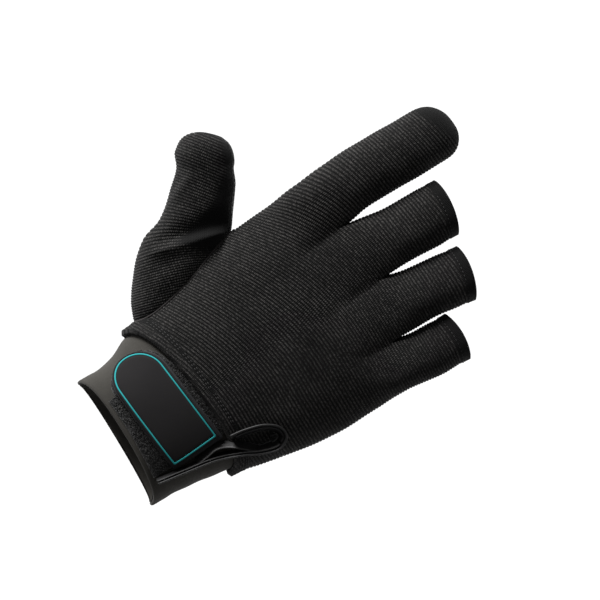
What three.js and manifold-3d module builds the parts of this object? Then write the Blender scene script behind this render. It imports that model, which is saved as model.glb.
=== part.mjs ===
// A right-hand casting glove, kept in the shape it has on a hand: palm down, fingers along +Y, thumb
// towards -X. Millimetres, +Z up out of the back of the hand. The origin is the middle of the wrist
// opening. Thumb and index finger are closed, the other three end in turned hems and are open.
import * as THREE from "three";
import Module from "manifold-3d";

// Walls
const KNIT_WALL = 1.4; // ribbed stretch fabric
const LEATHER_WALL = 1.2; // palm side
const NEOPRENE_WALL = 2.0; // wrist cuff
const PILE_WALL = 0.8; // loop pile field on the cuff
const STRAP_WALL = 1.5; // hook strap
const BADGE_WALL = 1.4; // moulded rubber badge
const LINE_WALL = 0.5; // raised line on the badge
const TAB_WALL = 1.3; // leather pull tab
const HEM_PROUD = 0.7; // how far a turned hem stands out of the fabric
const CLEARANCE = 0.3; // between pieces that lie on each other
const SEAM_INSET = 0.18; // each panel stops this short of a seam line

// Hand
const PALM_LENGTH = 130; // wrist opening to the finger webs
const HAND_WIDTH = 100.6; // over the four fingers and the gaps between them
const PALM_DEPTH = 38; // back to palm at the middle of the hand
const WRIST_WIDTH = 60.4;
const WRIST_DEPTH = 39;
const WRIST_HEM_WIDTH = 7;
const FINGER_HEM_WIDTH = 4;
const WEB_DROP = 5; // the back of a finger web starts this far before the web itself
const OUTLINE_POWER = 2.3; // roundness of the outline of a section: 2 is an ellipse
const FINGERS_OFFSET = -5.1; // middle of the four fingers, from the middle of the wrist
const FINGER_RISE = 3; // finger axes above the wrist's middle, at the webs
const FINGER_DROOP = 0.1; // how far a fingertip sinks, as a share of the finger's length
const OUTER_INSET = 2; // the hand stays this far inside the outer sides of its outer fingers
const OUTER_WEB = 0.93; // where the index finger's outer side starts, as a share of PALM_LENGTH

// Fingers from the thumb side on. Width and the gap to the finger before it are shares of HAND_WIDTH,
// depth is a share of PALM_DEPTH. Web is where the web after the finger lies, base where its length
// starts and length that length, as shares of PALM_LENGTH. Splay is how far the finger leans towards
// +X, slant how far its end is cut back on that side.
const FINGERS = [
  {
    name: "index",
    width: 0.2505,
    depth: 0.563,
    length: 0.457,
    gap: 0,
    web: 1,
    base: 1,
    splay: 0,
    slant: -0.1,
  },
  {
    name: "middle",
    width: 0.2445,
    depth: 0.553,
    length: 0.281,
    gap: 0.0318,
    web: 1.023,
    base: 1.02,
    splay: 0.04,
    slant: 0.11,
  },
  {
    name: "ring",
    width: 0.2326,
    depth: 0.537,
    length: 0.237,
    gap: 0.0129,
    web: 0.954,
    base: 1.01,
    splay: 0.12,
    slant: 0.19,
  },
  {
    name: "little",
    width: 0.2147,
    depth: 0.495,
    length: 0.169,
    gap: 0.0129,
    web: 0.9,
    base: 0.95,
    splay: 0.03,
    slant: 0.03,
  },
];
const CLOSED_FINGERS = ["index"];

// Thumb
const THUMB_LENGTH = 84; // from inside the hand to its tip
const THUMB_WIDTH = 29;
const THUMB_DEPTH = 25;
const THUMB_AIM = 135; // degrees from +X
const THUMB_ROOT_SIDE = -0.312; // its root from the middle, as a share of HAND_WIDTH
const THUMB_ROOT_ALONG = 0.31; // and as a share of PALM_LENGTH

// Sections of the hand from the wrist hem to the knuckles. Radial and ulnar are where a section
// crosses the thumb side and the little finger's side, arch how much further it runs over the back,
// as shares of PALM_LENGTH. Left and right are its sides as shares of the width over the fingers,
// back and palm its heights as shares of PALM_DEPTH.
const HAND_SECTIONS = [
  { at: 0.25, radial: 0.2, ulnar: 0.262, arch: 0.095, left: -0.372, right: 0.35, back: 0.53, palm: 0.49 },
  { at: 0.36, radial: 0.33, ulnar: 0.36, arch: 0.06, left: -0.407, right: 0.384, back: 0.53, palm: 0.52 },
  { at: 0.475, radial: 0.46, ulnar: 0.475, arch: 0.03, left: -0.446, right: 0.413, back: 0.515, palm: 0.51 },
  { at: 0.625, radial: 0.63, ulnar: 0.615, arch: 0.01, left: -0.497, right: 0.437, back: 0.49, palm: 0.46 },
  { at: 0.78, radial: 0.79, ulnar: 0.755, arch: 0, left: -0.513, right: 0.434, back: 0.46, palm: 0.38 },
];

// Sections of a finger. Along is a share of its length, width and depth are shares of its own.
const OPEN_FINGER_SECTIONS = [
  { along: 0.3, width: 0.985, depth: 0.98 },
  { along: 0.62, width: 0.99, depth: 0.97 },
  { along: 1, width: 1.03, depth: 1.03 },
];
const CLOSED_FINGER_SECTIONS = [
  { along: 0.17, width: 0.985, depth: 0.98 },
  { along: 0.45, width: 0.99, depth: 0.95 },
  { along: 0.7, width: 0.99, depth: 0.92 },
  { along: 0.85, width: 0.94, depth: 0.84 },
  { along: 0.94, width: 0.76, depth: 0.66 },
  { along: 0.985, width: 0.44, depth: 0.36 },
  { along: 1, width: 0, depth: 0 },
];

// Sections of the thumb. Along and side place its middle, along its aim and towards the fingers, and
// rise its height, as shares of THUMB_LENGTH. Width and depth are shares of the thumb's own.
const THUMB_SECTIONS = [
  { along: 0.0, side: -0.027, rise: -0.04, width: 0.62, depth: 0.8 },
  { along: 0.095, side: -0.029, rise: -0.04, width: 0.84, depth: 1.0 },
  { along: 0.27, side: -0.008, rise: -0.035, width: 1.1, depth: 1.08 },
  { along: 0.41, side: 0.008, rise: -0.03, width: 1.14, depth: 1.05 },
  { along: 0.53, side: 0.046, rise: -0.02, width: 1.05, depth: 0.98 },
  { along: 0.675, side: 0.044, rise: -0.01, width: 0.94, depth: 0.9 },
  { along: 0.79, side: 0.038, rise: 0, width: 0.88, depth: 0.85 },
  { along: 0.88, side: 0.011, rise: 0.005, width: 0.88, depth: 0.76 },
  { along: 0.94, side: 0.006, rise: 0.005, width: 0.71, depth: 0.6 },
  { along: 0.98, side: 0.012, rise: 0.005, width: 0.44, depth: 0.36 },
  { along: 1, side: 0.02, rise: 0.005, width: 0, depth: 0 },
];

// Folds of the fabric over the back of the thumb, where the web to the index finger pulls it. Each
// runs between two places along and to the side of the thumb, as shares of THUMB_LENGTH. Reach is its
// half width as a share of THUMB_LENGTH, rise its height in shares of THUMB_DEPTH.
const THUMB_FOLDS = [
  { along: 0.36, side: -0.1, to_along: 0.52, to_side: 0.18, reach: 0.036, rise: 0.055 },
  { along: 0.44, side: -0.07, to_along: 0.6, to_side: 0.17, reach: 0.05, rise: -0.07 },
  { along: 0.2, side: -0.06, to_along: 0.35, to_side: 0.05, reach: 0.04, rise: 0.03 },
];

// Badge, strap and pull tab. Distances run round the wrist from the middle of its back towards +X.
const BADGE_LENGTH = 46.2;
const BADGE_WIDTH = 22;
const BADGE_FROM = 18.8; // its square end
const BADGE_ALONG = 26.4; // its middle line, from the wrist opening
const BADGE_LEAN = 0.11; // rise of its middle line towards +X
const LINE_WIDTH = 1;
const LINE_MARGIN = 1.1;
const STRAP_MARGIN = 0.8;
const STRAP_ROOT = 1.8; // the strap runs on past the badge's square end
const PILE_FROM = 20.3;
const PILE_TO = -32;
const PILE_EDGE = 2.5;
const TAB_WIDTH = 8;
const TAB_UPRIGHT = 0.6; // 0 stands square on the glove, 1 straight up
const TAB_RAMP = 8; // length over which the tab climbs onto the hem
const TAB_SPLIT = 3;
const CUFF_TUCK = 7; // how far the cuff reaches under the hem
const CUFF_END = 1.215; // and where it ends there, with the opening at 0 and the hem's edge at 1
const CUFF_COLUMNS = 32;

// Faces along and across each piece on the cuff
const PILE_FACES = [14, 4];
const STRAP_FACES = [16, 6];
const BADGE_FACES = [18, 6];
const LINE_FACES = [56, 1];

// Sections of the cuff, at 0 at the opening and 1 at the hem. Along is a share of PALM_LENGTH, arch
// how much further it runs over the back, width and depth are shares of the wrist's own.
const CUFF_SECTIONS = [
  { at: 0, along: 0, arch: 0.06, width: 1, depth: 1 },
  { at: 0.45, along: 0.1, arch: 0.07, width: 1.01, depth: 0.98 },
];

// Middle line of the pull tab, from the seam on the cuff round its fold and back. Side is a share of
// half the wrist's width, along of PALM_LENGTH.
const TAB_ROUTE = [
  { side: 0.71, along: 0.065 },
  { side: 0.77, along: 0.16 },
  { side: 0.84, along: 0.255 },
  { side: 0.96, along: 0.335 },
  { side: 1.08, along: 0.395 },
  { side: 1.14, along: 0.448 },
  { side: 1.06, along: 0.482 },
  { side: 0.91, along: 0.478 },
  { side: 0.79, along: 0.44 },
  { side: 0.72, along: 0.385 },
  { side: 0.69, along: 0.335 },
];

// Columns round a finger: 0 faces +X, 4 the back, 8 -X and 12 the palm.
const RING = 16;
const BACK_FROM = 2;
const BACK_TO = 6;
const PALM_FROM = 10;
const PALM_TO = 14;
const SEAM_LOW = -1; // seam between knit and leather on the side towards +X
const SEAM_HIGH = 9; // and on the side towards -X
const EDGE_COSINE = 0.87; // where the back of a hand section ends, as a share of its half width
const TIP_CAP = 0.95; // leather wraps a closed tip from this share of the finger's length on
const ROW_MERGE = 0.02; // rows closer than this, as shares of PALM_LENGTH, are made one
const HEM_STEP = 1; // length over which a turned hem rises out of the fabric
const THUMB_SEAM_LOW = 1; // the thumb's own columns: 0 faces the index finger, 4 the back
const THUMB_SEAM_HIGH = 9;
const THUMB_CAP = 0.965; // leather wraps its tip from this share of its length on
const THUMB_SPLIT = 3;

const v3 = (x, y, z) => new THREE.Vector3(x, y, z);
const { lerp, degToRad, clamp, smoothstep } = THREE.MathUtils;
const rounded = (value) => Math.sign(value) * Math.abs(value) ** (2 / OUTLINE_POWER);

// A curve through points at rising knots. A bend may fix the slope at one of the knots.
function curve(knots, points, t, bend) {
  const last = knots.length - 1;
  let i = 0;
  while (i < last - 1 && t > knots[i + 1]) i++;
  const slope = (k) => {
    const low = Math.max(0, k - 1);
    const high = Math.min(last, k + 1);
    const free = points[high].clone().sub(points[low]).divideScalar(knots[high] - knots[low]);
    return bend && bend.knot === k ? free.lerp(bend.slope, bend.weight) : free;
  };
  const span = knots[i + 1] - knots[i];
  const s = (t - knots[i]) / span;
  return v3(0, 0, 0)
    .addScaledVector(points[i], 2 * s ** 3 - 3 * s ** 2 + 1)
    .addScaledVector(slope(i), (s ** 3 - 2 * s ** 2 + s) * span)
    .addScaledVector(points[i + 1], 3 * s ** 2 - 2 * s ** 3)
    .addScaledVector(slope(i + 1), (s ** 3 - s ** 2) * span);
}

// Where the fingers stand across the hand, from their widths and gaps.
const hand_left = FINGERS_OFFSET - HAND_WIDTH / 2;
const hand_right = FINGERS_OFFSET + HAND_WIDTH / 2;
const fingers = [];
let edge = hand_left;
for (const row of FINGERS) {
  const width = row.width * HAND_WIDTH;
  const gap = row.gap * HAND_WIDTH;
  const closed = CLOSED_FINGERS.includes(row.name);
  const middle = edge + gap + width / 2;
  edge = middle + width / 2;
  fingers.push({
    ...row,
    width,
    gap,
    depth: row.depth * PALM_DEPTH,
    length: row.length * PALM_LENGTH,
    middle,
    closed,
    sections: closed ? CLOSED_FINGER_SECTIONS : OPEN_FINGER_SECTIONS,
  });
}
const webs = [{ x: hand_left, y: OUTER_WEB * PALM_LENGTH }];
fingers.forEach((f, i) => {
  const next = fingers[i + 1];
  webs.push({ x: next ? f.middle + f.width / 2 + next.gap / 2 : hand_right, y: f.web * PALM_LENGTH });
});
const diagonal = Math.cos(degToRad(45));

// Share of the way over the back of the hand, from -X, at column k of finger i.
function across(i, k) {
  const reach = (column) => {
    const c = Math.cos((column / RING) * 2 * Math.PI) / diagonal;
    return lerp(webs[i].x, webs[i + 1].x, (1 + c) / 2);
  };
  return (reach(k) - hand_left) / (hand_right - hand_left);
}

function handAngle(i, k) {
  const side = Math.acos(EDGE_COSINE);
  if (k >= BACK_FROM && k <= BACK_TO) return Math.acos(lerp(-EDGE_COSINE, EDGE_COSINE, across(i, k)));
  if (k > BACK_TO && k < PALM_FROM) return Math.PI + ((k - RING / 2) / BACK_FROM) * side;
  if (k < BACK_FROM) return (k / BACK_FROM) * side;
  if (k > PALM_TO) return ((k - RING) / BACK_FROM) * side;
  return -Math.acos(lerp(-EDGE_COSINE, EDGE_COSINE, across(i, k)));
}

function handPoint(section, angle) {
  const c = rounded(Math.cos(angle));
  const s = rounded(Math.sin(angle));
  const sideways = (1 + c) / 2;
  const along = lerp(section.radial, section.ulnar, sideways) + section.arch * Math.max(0, s);
  const x = lerp(section.left, section.right, sideways) * HAND_WIDTH;
  return v3(x, along * PALM_LENGTH, s * (s > 0 ? section.back : section.palm) * PALM_DEPTH);
}

function fingerPoint(finger, section, angle) {
  const distance = section.along * finger.length;
  const side = rounded(Math.cos(angle)) * section.width * (finger.width / 2);
  const up = rounded(Math.sin(angle)) * section.depth * (finger.depth / 2);
  return v3(
    finger.middle + finger.splay * distance + side,
    finger.base * PALM_LENGTH + distance - finger.slant * side * section.along,
    FINGER_RISE - FINGER_DROOP * distance * section.along + up,
  );
}

// Where column k of finger i leaves the hand. Its sides towards other fingers start at the webs.
function rootPoint(i, k) {
  const finger = fingers[i];
  const angle = (k / RING) * 2 * Math.PI;
  const s = Math.sin(angle);
  const c = clamp(Math.cos(angle) / diagonal, -1, 1);
  const share = (1 + c) / 2;
  const drop = WEB_DROP * smoothstep(s, -0.1, 0.75);
  const y = lerp(webs[i].y, webs[i + 1].y, share) - drop;
  const outer = (c < 0 && i === 0) || (c > 0 && i === fingers.length - 1);
  const beside = c < 0 ? fingers[i - 1] : fingers[i + 1];
  const own = rounded(s) * (finger.depth / 2);
  if (outer) {
    const side = rounded(Math.cos(angle)) * (finger.width / 2) - Math.sign(c) * OUTER_INSET * Math.abs(c);
    return v3(finger.middle + side, y, FINGER_RISE + own);
  }
  const shared = (rounded(s) * (finger.depth + beside.depth)) / 4;
  const z = FINGER_RISE + lerp(own, shared, Math.abs(c));
  return v3(lerp(webs[i].x, webs[i + 1].x, share), y, z);
}

// The glove's outer surface: column k of finger i, t from the wrist hem to 1 at the webs and on.
const stations = fingers.map((f) => f.sections.map((s) => 1 + (s.along * f.length) / PALM_LENGTH));
function glovePoint(i, k, t) {
  const finger = fingers[i];
  const column = ((k % RING) + RING) % RING;
  const angle = (column / RING) * 2 * Math.PI;
  const c = Math.abs(Math.cos(angle)) / diagonal;
  const inner = c > 1.0001 && !(Math.cos(angle) < 0 ? i === 0 : i === fingers.length - 1);
  const knots = inner ? [1] : [...HAND_SECTIONS.map((s) => s.at), 1];
  const points = inner ? [] : HAND_SECTIONS.map((s) => handPoint(s, handAngle(i, column)));
  points.push(rootPoint(i, column));
  knots.push(...stations[i]);
  points.push(...finger.sections.map((s) => fingerPoint(finger, s, angle)));
  const root = points.length - finger.sections.length - 1;
  if (inner) return curve(knots, points, t);
  const before = points[root].clone().sub(points[root - 1]).divideScalar(knots[root] - knots[root - 1]);
  const slope = before.add(v3(0, PALM_LENGTH, 0)).multiplyScalar(0.5);
  return curve(knots, points, t, { knot: root, slope, weight: Math.min(1, c) ** 4 });
}

// Height that the folds add at a point of the thumb. They fade out towards their ends.
function thumbFold(point) {
  const from_root = point.clone().sub(thumb_root).divideScalar(THUMB_LENGTH);
  const along = from_root.dot(thumb_aim);
  const side = from_root.dot(thumb_side);
  return THUMB_FOLDS.reduce((sum, f) => {
    const run = Math.hypot(f.to_along - f.along, f.to_side - f.side);
    const c = (f.to_along - f.along) / run;
    const s = (f.to_side - f.side) / run;
    const on = ((along - f.along) * c + (side - f.side) * s) / run;
    const off = (along - f.along) * s - (side - f.side) * c;
    const fade = smoothstep(on, -0.3, 0.25) * (1 - smoothstep(on, 0.85, 1.3));
    return sum + f.rise * THUMB_DEPTH * fade * Math.exp(-((off / f.reach) ** 2));
  }, 0);
}

const thumb_root = v3(THUMB_ROOT_SIDE * HAND_WIDTH, THUMB_ROOT_ALONG * PALM_LENGTH, 0);
const thumb_aim = v3(Math.cos(degToRad(THUMB_AIM)), Math.sin(degToRad(THUMB_AIM)), 0);
const thumb_side = v3(thumb_aim.y, -thumb_aim.x, 0);
function thumbPoint(k, t) {
  const angle = (k / RING) * 2 * Math.PI;
  const ring = (section) => {
    const side = section.side * THUMB_LENGTH + rounded(Math.cos(angle)) * section.width * (THUMB_WIDTH / 2);
    const up = section.rise * THUMB_LENGTH + rounded(Math.sin(angle)) * section.depth * (THUMB_DEPTH / 2);
    const middle = thumb_root.clone().addScaledVector(thumb_aim, section.along * THUMB_LENGTH);
    return middle.addScaledVector(thumb_side, side).add(v3(0, 0, up));
  };
  const point = curve(THUMB_SECTIONS.map((s) => s.along), THUMB_SECTIONS.map(ring), t);
  const on_back = smoothstep(Math.sin(angle), 0.1, 0.7);
  return point.add(v3(0, 0, on_back * thumbFold(point)));
}

const KNIT = "knit";
const LEATHER = "leather";
const SEAM = "seam";
const NEOPRENE = "neoprene";

// A net of quads with shared corners. Each quad carries the name of the panel it belongs to.
class Net {
  constructor() {
    this.points = [];
    this.places = [];
    this.keys = new Map();
    this.quads = [];
  }
  corner(key, make, place) {
    if (!this.keys.has(key)) {
      this.keys.set(key, this.points.length);
      this.points.push(make());
      this.places.push(place);
    }
    return this.keys.get(key);
  }
  quad(owner, corners) {
    this.quads.push({ owner, corners });
  }
  // Corners that face each other over a seam share one direction, so that the seam keeps its width.
  normals() {
    const sums = this.points.map(() => v3(0, 0, 0));
    for (const { corners } of this.quads) {
      const [a, b, c, d] = corners.map((n) => this.points[n]);
      const face = c.clone().sub(a).cross(d.clone().sub(b));
      corners.forEach((n) => sums[n].add(face));
    }
    const group = this.points.map((_, n) => n);
    const lead = (n) => (group[n] === n ? n : lead(group[n]));
    for (const { corners, owner: name } of this.quads) {
      if (name !== SEAM) continue;
      corners.forEach((n, i) => {
        const other = corners[(i + 1) % 4];
        if (this.points[n].distanceTo(this.points[other]) < 3 * SEAM_INSET) group[lead(n)] = lead(other);
      });
    }
    const shared = this.points.map(() => v3(0, 0, 0));
    sums.forEach((sum, n) => shared[lead(n)].add(sum));
    return this.points.map((_, n) => shared[lead(n)].clone().normalize());
  }
}

const trianglesOf = (corners) => {
  const ring = corners.filter((n, i) => n !== corners[(i + 1) % corners.length]);
  return ring.slice(2).map((n, i) => [ring[0], ring[i + 1], n]);
};

// Edges of triangles that no other triangle shares, in their own direction.
function freeEdges(triangles) {
  const edges = new Map();
  for (const tri of triangles) {
    tri.forEach((from, i) => {
      const to = tri[(i + 1) % 3];
      if (!edges.delete(`${to},${from}`)) edges.set(`${from},${to}`, [from, to]);
    });
  }
  return [...edges.values()];
}

function solid(positions, triangles) {
  const used = [...new Set(triangles.flat())];
  const place = new Map(used.map((n, i) => [n, i]));
  const mesh = new wasm.Mesh({
    numProp: 3,
    vertProperties: new Float32Array(used.flatMap((n) => positions[n].toArray())),
    triVerts: new Uint32Array(triangles.flat().map((n) => place.get(n))),
  });
  mesh.merge();
  return new wasm.Manifold(mesh);
}

// A panel of the net with a wall: outside and inside give how far each corner moves along its normal.
function panel(net, owner, inside, outside = () => 0) {
  const normals = net.normals();
  const count = net.points.length;
  const shifted = (by) => net.points.map((p, n) => p.clone().addScaledVector(normals[n], by(n)));
  const positions = [...shifted(outside), ...shifted(() => -inside)];
  const outer = net.quads.filter((q) => q.owner === owner).flatMap((q) => trianglesOf(q.corners));
  const inner = outer.map(([a, b, c]) => [a + count, c + count, b + count]);
  const rim = freeEdges(outer).flatMap(([a, b]) => [
    [b, a, a + count],
    [b, a + count, b + count],
  ]);
  return solid(positions, [...outer, ...inner, ...rim]);
}

// The whole net as one closed body, moved out along its normals, with its open ends covered.
function filled(net, shift) {
  const normals = net.normals();
  const positions = net.points.map((p, n) => p.clone().addScaledVector(normals[n], shift));
  const outer = net.quads.flatMap((q) => trianglesOf(q.corners));
  const next = new Map(freeEdges(outer).map(([a, b]) => [b, a]));
  const caps = [];
  while (next.size) {
    const loop = [next.keys().next().value];
    for (let n = next.get(loop[0]); n !== loop[0]; n = next.get(n)) loop.push(n);
    loop.forEach((n) => next.delete(n));
    const middle = loop.reduce((sum, n) => sum.add(positions[n]), v3(0, 0, 0)).divideScalar(loop.length);
    positions.push(middle);
    loop.forEach((n, i) => caps.push([n, loop[(i + 1) % loop.length], positions.length - 1]));
  }
  return solid(positions, [...outer, ...caps]);
}

// Columns of a ring with a narrow strip left free at each seam.
function ringColumns(seams, step, narrow) {
  const columns = [];
  for (let k = 0; k < RING; k += step) {
    if (seams.some((s) => (s + RING) % RING === k)) columns.push(k - narrow, k + narrow);
    else columns.push(k);
  }
  return columns;
}

function owner(k, t, seams, narrow, cap) {
  if (t > cap.to) return LEATHER;
  const turned = (((k - seams.low) % RING) + RING) % RING;
  const width = (((seams.high - seams.low) % RING) + RING) % RING;
  if (turned < narrow || turned > RING - narrow || Math.abs(turned - width) < narrow) return SEAM;
  if (turned > width) return LEATHER;
  return t > cap.from ? SEAM : KNIT;
}

// Rows at the given stations and evenly between them, with extra ones where a form changes.
function rowsAt(knots, extra = [], split = 2) {
  const step = (n, m) => lerp(knots[n - 1], knots[n], (m + 1) / split);
  const between = (n) => Array.from({ length: split }, (_, m) => step(n, m));
  const list = knots.flatMap((t, n) => (n ? between(n) : [t]));
  const near = (t) => extra.some((e) => Math.abs(e - t) < ROW_MERGE) && t !== knots[0] && t !== knots.at(-1);
  return [...list.filter((t) => !near(t)), ...extra].sort((x, y) => x - y);
}

const finger_seams = { low: SEAM_LOW, high: SEAM_HIGH };
const thumb_seams = { low: THUMB_SEAM_LOW, high: THUMB_SEAM_HIGH };
const finger_narrow = (SEAM_INSET * RING) / (Math.PI * fingers[0].width);
const thumb_narrow = (SEAM_INSET * RING) / (Math.PI * THUMB_WIDTH);
const no_cap = { from: Infinity, to: Infinity };

function gloveNet() {
  const net = new Net();
  const hem = HAND_SECTIONS[0].at;
  const hem_end = hem + WRIST_HEM_WIDTH / PALM_LENGTH;
  const hem_rows = [hem_end, hem_end + HEM_STEP / PALM_LENGTH];
  const hand_rows = rowsAt([...HAND_SECTIONS.map((s) => s.at), 1], hem_rows);
  fingers.forEach((finger, i) => {
    const end = 1 + finger.length / PALM_LENGTH;
    const tip = 1 + (finger.length * TIP_CAP) / PALM_LENGTH;
    const half = (2 * SEAM_INSET) / PALM_LENGTH;
    const cap = finger.closed ? { from: tip - half, to: tip + half } : no_cap;
    const turned = end - FINGER_HEM_WIDTH / PALM_LENGTH;
    const extra = finger.closed ? [cap.from, cap.to] : [turned - HEM_STEP / PALM_LENGTH, turned];
    const finger_rows = rowsAt([1, ...stations[i]], extra).slice(1);
    const all = [...hand_rows, ...finger_rows];
    const columns = ringColumns([SEAM_LOW, SEAM_HIGH], 1, finger_narrow);
    const isInner = (k) => {
      const c = Math.cos((k / RING) * 2 * Math.PI) / diagonal;
      return (c > 1.0001 && i < fingers.length - 1) || (c < -1.0001 && i > 0);
    };
    const corner = (k, j) => {
      const column = ((k % RING) + RING) % RING;
      const t = all[j];
      const at_tip = finger.closed && j === all.length - 1;
      if (at_tip) return net.corner(`tip${i}`, () => glovePoint(i, column, t), { i, t });
      let key = `${i},${column.toFixed(4)},${j}`;
      const c = Math.cos((column / RING) * 2 * Math.PI) / diagonal;
      const shared = j < hand_rows.length && c < -0.9999 && i > 0;
      if (shared) {
        const other = (((RING / 2 - column) % RING) + RING) % RING;
        key = `${i - 1},${other.toFixed(4)},${j}`;
      }
      return net.corner(key, () => glovePoint(i, column, t), { i, t });
    };
    columns.forEach((k, n) => {
      const after = n + 1 < columns.length ? columns[n + 1] : columns[0] + RING;
      const middle = (k + after) / 2;
      for (let j = 0; j + 1 < all.length; j++) {
        if (isInner(middle) && j + 1 < hand_rows.length) continue;
        const t = (all[j] + all[j + 1]) / 2;
        const name = owner(middle, t, finger_seams, finger_narrow * 0.9, cap);
        net.quad(name, [corner(k, j), corner(k, j + 1), corner(after, j + 1), corner(after, j)]);
      }
    });
  });
  return net;
}

function thumbNet() {
  const net = new Net();
  const half = (2 * SEAM_INSET) / THUMB_LENGTH;
  const cap = { from: THUMB_CAP - half, to: THUMB_CAP + half };
  const all = rowsAt(THUMB_SECTIONS.map((s) => s.along), [cap.from, cap.to], THUMB_SPLIT);
  const columns = ringColumns([THUMB_SEAM_LOW, THUMB_SEAM_HIGH], 1, thumb_narrow);
  const corner = (k, j) => {
    const column = ((k % RING) + RING) % RING;
    const key = j === all.length - 1 ? "tip" : `${column.toFixed(4)},${j}`;
    return net.corner(key, () => thumbPoint(column, all[j]));
  };
  columns.forEach((k, n) => {
    const after = n + 1 < columns.length ? columns[n + 1] : columns[0] + RING;
    for (let j = 0; j + 1 < all.length; j++) {
      const t = (all[j] + all[j + 1]) / 2;
      const name = owner((k + after) / 2, t, thumb_seams, thumb_narrow * 0.9, cap);
      net.quad(name, [corner(k, j), corner(k, j + 1), corner(after, j + 1), corner(after, j)]);
    }
  });
  return net;
}

// Turned hems stand out of the fabric at the wrist and at the ends of the open fingers.
function hemRise({ i, t }) {
  const hem_end = HAND_SECTIONS[0].at + WRIST_HEM_WIDTH / PALM_LENGTH;
  const step = HEM_STEP / PALM_LENGTH;
  const wrist = 1 - smoothstep(t, hem_end, hem_end + step);
  const end = 1 + (fingers[i].length - FINGER_HEM_WIDTH) / PALM_LENGTH;
  const finger = fingers[i].closed ? 0 : smoothstep(t, end - step, end);
  return HEM_PROUD * Math.max(wrist, finger);
}

// The skin over the back of the wrist and hand at an angle, t as for the glove.
const hand_knots = HAND_SECTIONS.map((s) => s.at);
const skinPoint = (angle, t) => curve(hand_knots, HAND_SECTIONS.map((s) => handPoint(s, angle)), t);

function facing(point, angle, t) {
  const turn = 0.01;
  const step = 0.003;
  const round = point(angle + turn, t).sub(point(angle - turn, t));
  return point(angle, t + step).sub(point(angle, t - step)).cross(round).normalize();
}

// The cuff is a tube from the wrist opening to under the hem, u from 0 to 1 and a little more.
function wristPoint(section, angle) {
  const x = rounded(Math.cos(angle)) * section.width * (WRIST_WIDTH / 2);
  const up = rounded(Math.sin(angle));
  const y = (section.along + section.arch * Math.max(0, up)) * PALM_LENGTH;
  return v3(x, y, (up * section.depth * WRIST_DEPTH) / 2);
}
function cuffPoint(angle, u) {
  const under = [0, CUFF_TUCK].map((by) => {
    const t = hand_knots[0] + by / PALM_LENGTH;
    return skinPoint(angle, t).addScaledVector(facing(skinPoint, angle, t), -KNIT_WALL - CLEARANCE);
  });
  const open = CUFF_SECTIONS.map((section) => wristPoint(section, angle));
  return curve([...CUFF_SECTIONS.map((s) => s.at), 1, CUFF_END], [...open, ...under], u);
}

function cuffNet() {
  const net = new Net();
  const knots = [...CUFF_SECTIONS.map((s) => s.at), 1, CUFF_END];
  const all = rowsAt(knots, []);
  for (let k = 0; k < CUFF_COLUMNS; k++) {
    for (let j = 0; j + 1 < all.length; j++) {
      const corner = (column, row) => {
        const turn = ((column % CUFF_COLUMNS) / CUFF_COLUMNS) * 2 * Math.PI;
        return net.corner(`${column % CUFF_COLUMNS},${row}`, () => cuffPoint(turn, all[row]));
      };
      net.quad(NEOPRENE, [corner(k, j), corner(k, j + 1), corner(k + 1, j + 1), corner(k + 1, j)]);
    }
  }
  return net;
}

// The cuff's outside at a distance round the wrist from the middle of its back, towards +X, and at a
// height y from the wrist opening.
function onCuff(distance, y) {
  const at = (angle) => {
    let low = 0;
    let high = 1.05;
    for (let n = 0; n < 24; n++) {
      const u = (low + high) / 2;
      if (cuffPoint(angle, u).y < y) low = u;
      else high = u;
    }
    return { point: cuffPoint(angle, low), angle, u: low };
  };
  const step = 0.04 * Math.sign(distance);
  let place = at(Math.PI / 2);
  let left = Math.abs(distance);
  while (left > 1e-6) {
    const next = at(place.angle - step);
    const length = next.point.distanceTo(place.point);
    if (length >= left) {
      place = at(place.angle - (step * left) / length);
      break;
    }
    left -= length;
    place = next;
  }
  return { point: place.point, normal: facing(cuffPoint, place.angle, place.u) };
}

// A layer on the cuff: lift is how far its underside lies above the cuff. Shape gives the distance
// round the wrist and y for shares a along it and b across it.
function layer(shape, [long, wide], lift, wall, closed = false) {
  const net = new Net();
  const corner = (a, b) => {
    const [distance, y] = shape(a / long, b / wide);
    const key = `${distance.toFixed(3)},${y.toFixed(3)}`;
    return net.corner(key, () => {
      const { point, normal } = onCuff(distance, y);
      return point.addScaledVector(normal, lift + wall);
    });
  };
  for (let a = 0; a < long; a++) {
    const next = closed ? (a + 1) % long : a + 1;
    for (let b = 0; b < wide; b++) {
      net.quad(NEOPRENE, [corner(a, b), corner(a, b + 1), corner(next, b + 1), corner(next, b)]);
    }
  }
  return panel(net, NEOPRENE, wall);
}

// Outline of the badge's tongue: square towards +X, half round towards -X, grown by a margin.
const badge_middle = (distance) => BADGE_ALONG + BADGE_LEAN * distance;
const badge_radius = BADGE_WIDTH / 2;
function tongue(margin, root) {
  const start = BADGE_FROM + root;
  const centre = BADGE_FROM - BADGE_LENGTH + badge_radius;
  const radius = badge_radius + margin;
  return (a, b) => {
    const turn = clamp((a - 0.5) / 0.5, 0, 1) * (Math.PI / 2);
    const distance = a < 0.5 ? lerp(start, centre, a / 0.5) : centre - radius * Math.sin(turn);
    const half = a < 0.5 ? radius : radius * Math.cos(turn);
    return [distance, badge_middle(distance) + (2 * b - 1) * half];
  };
}

// A line that follows the tongue's outline, from inside to outside over its width.
function rim(margin, width) {
  const outer = tongue(-margin, -margin);
  const inner = tongue(-margin - width, -margin - width);
  const path = (shape, a) => {
    const s = a * 4;
    if (s < 1.5) return shape(s / 1.5, 1);
    if (s < 3) return shape(1 - (s - 1.5) / 1.5, 0);
    return shape(0, s - 3);
  };
  return (a, b) => {
    const [x0, y0] = path(inner, a);
    const [x1, y1] = path(outer, a);
    return [lerp(x0, x1, b), lerp(y0, y1, b)];
  };
}

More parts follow.
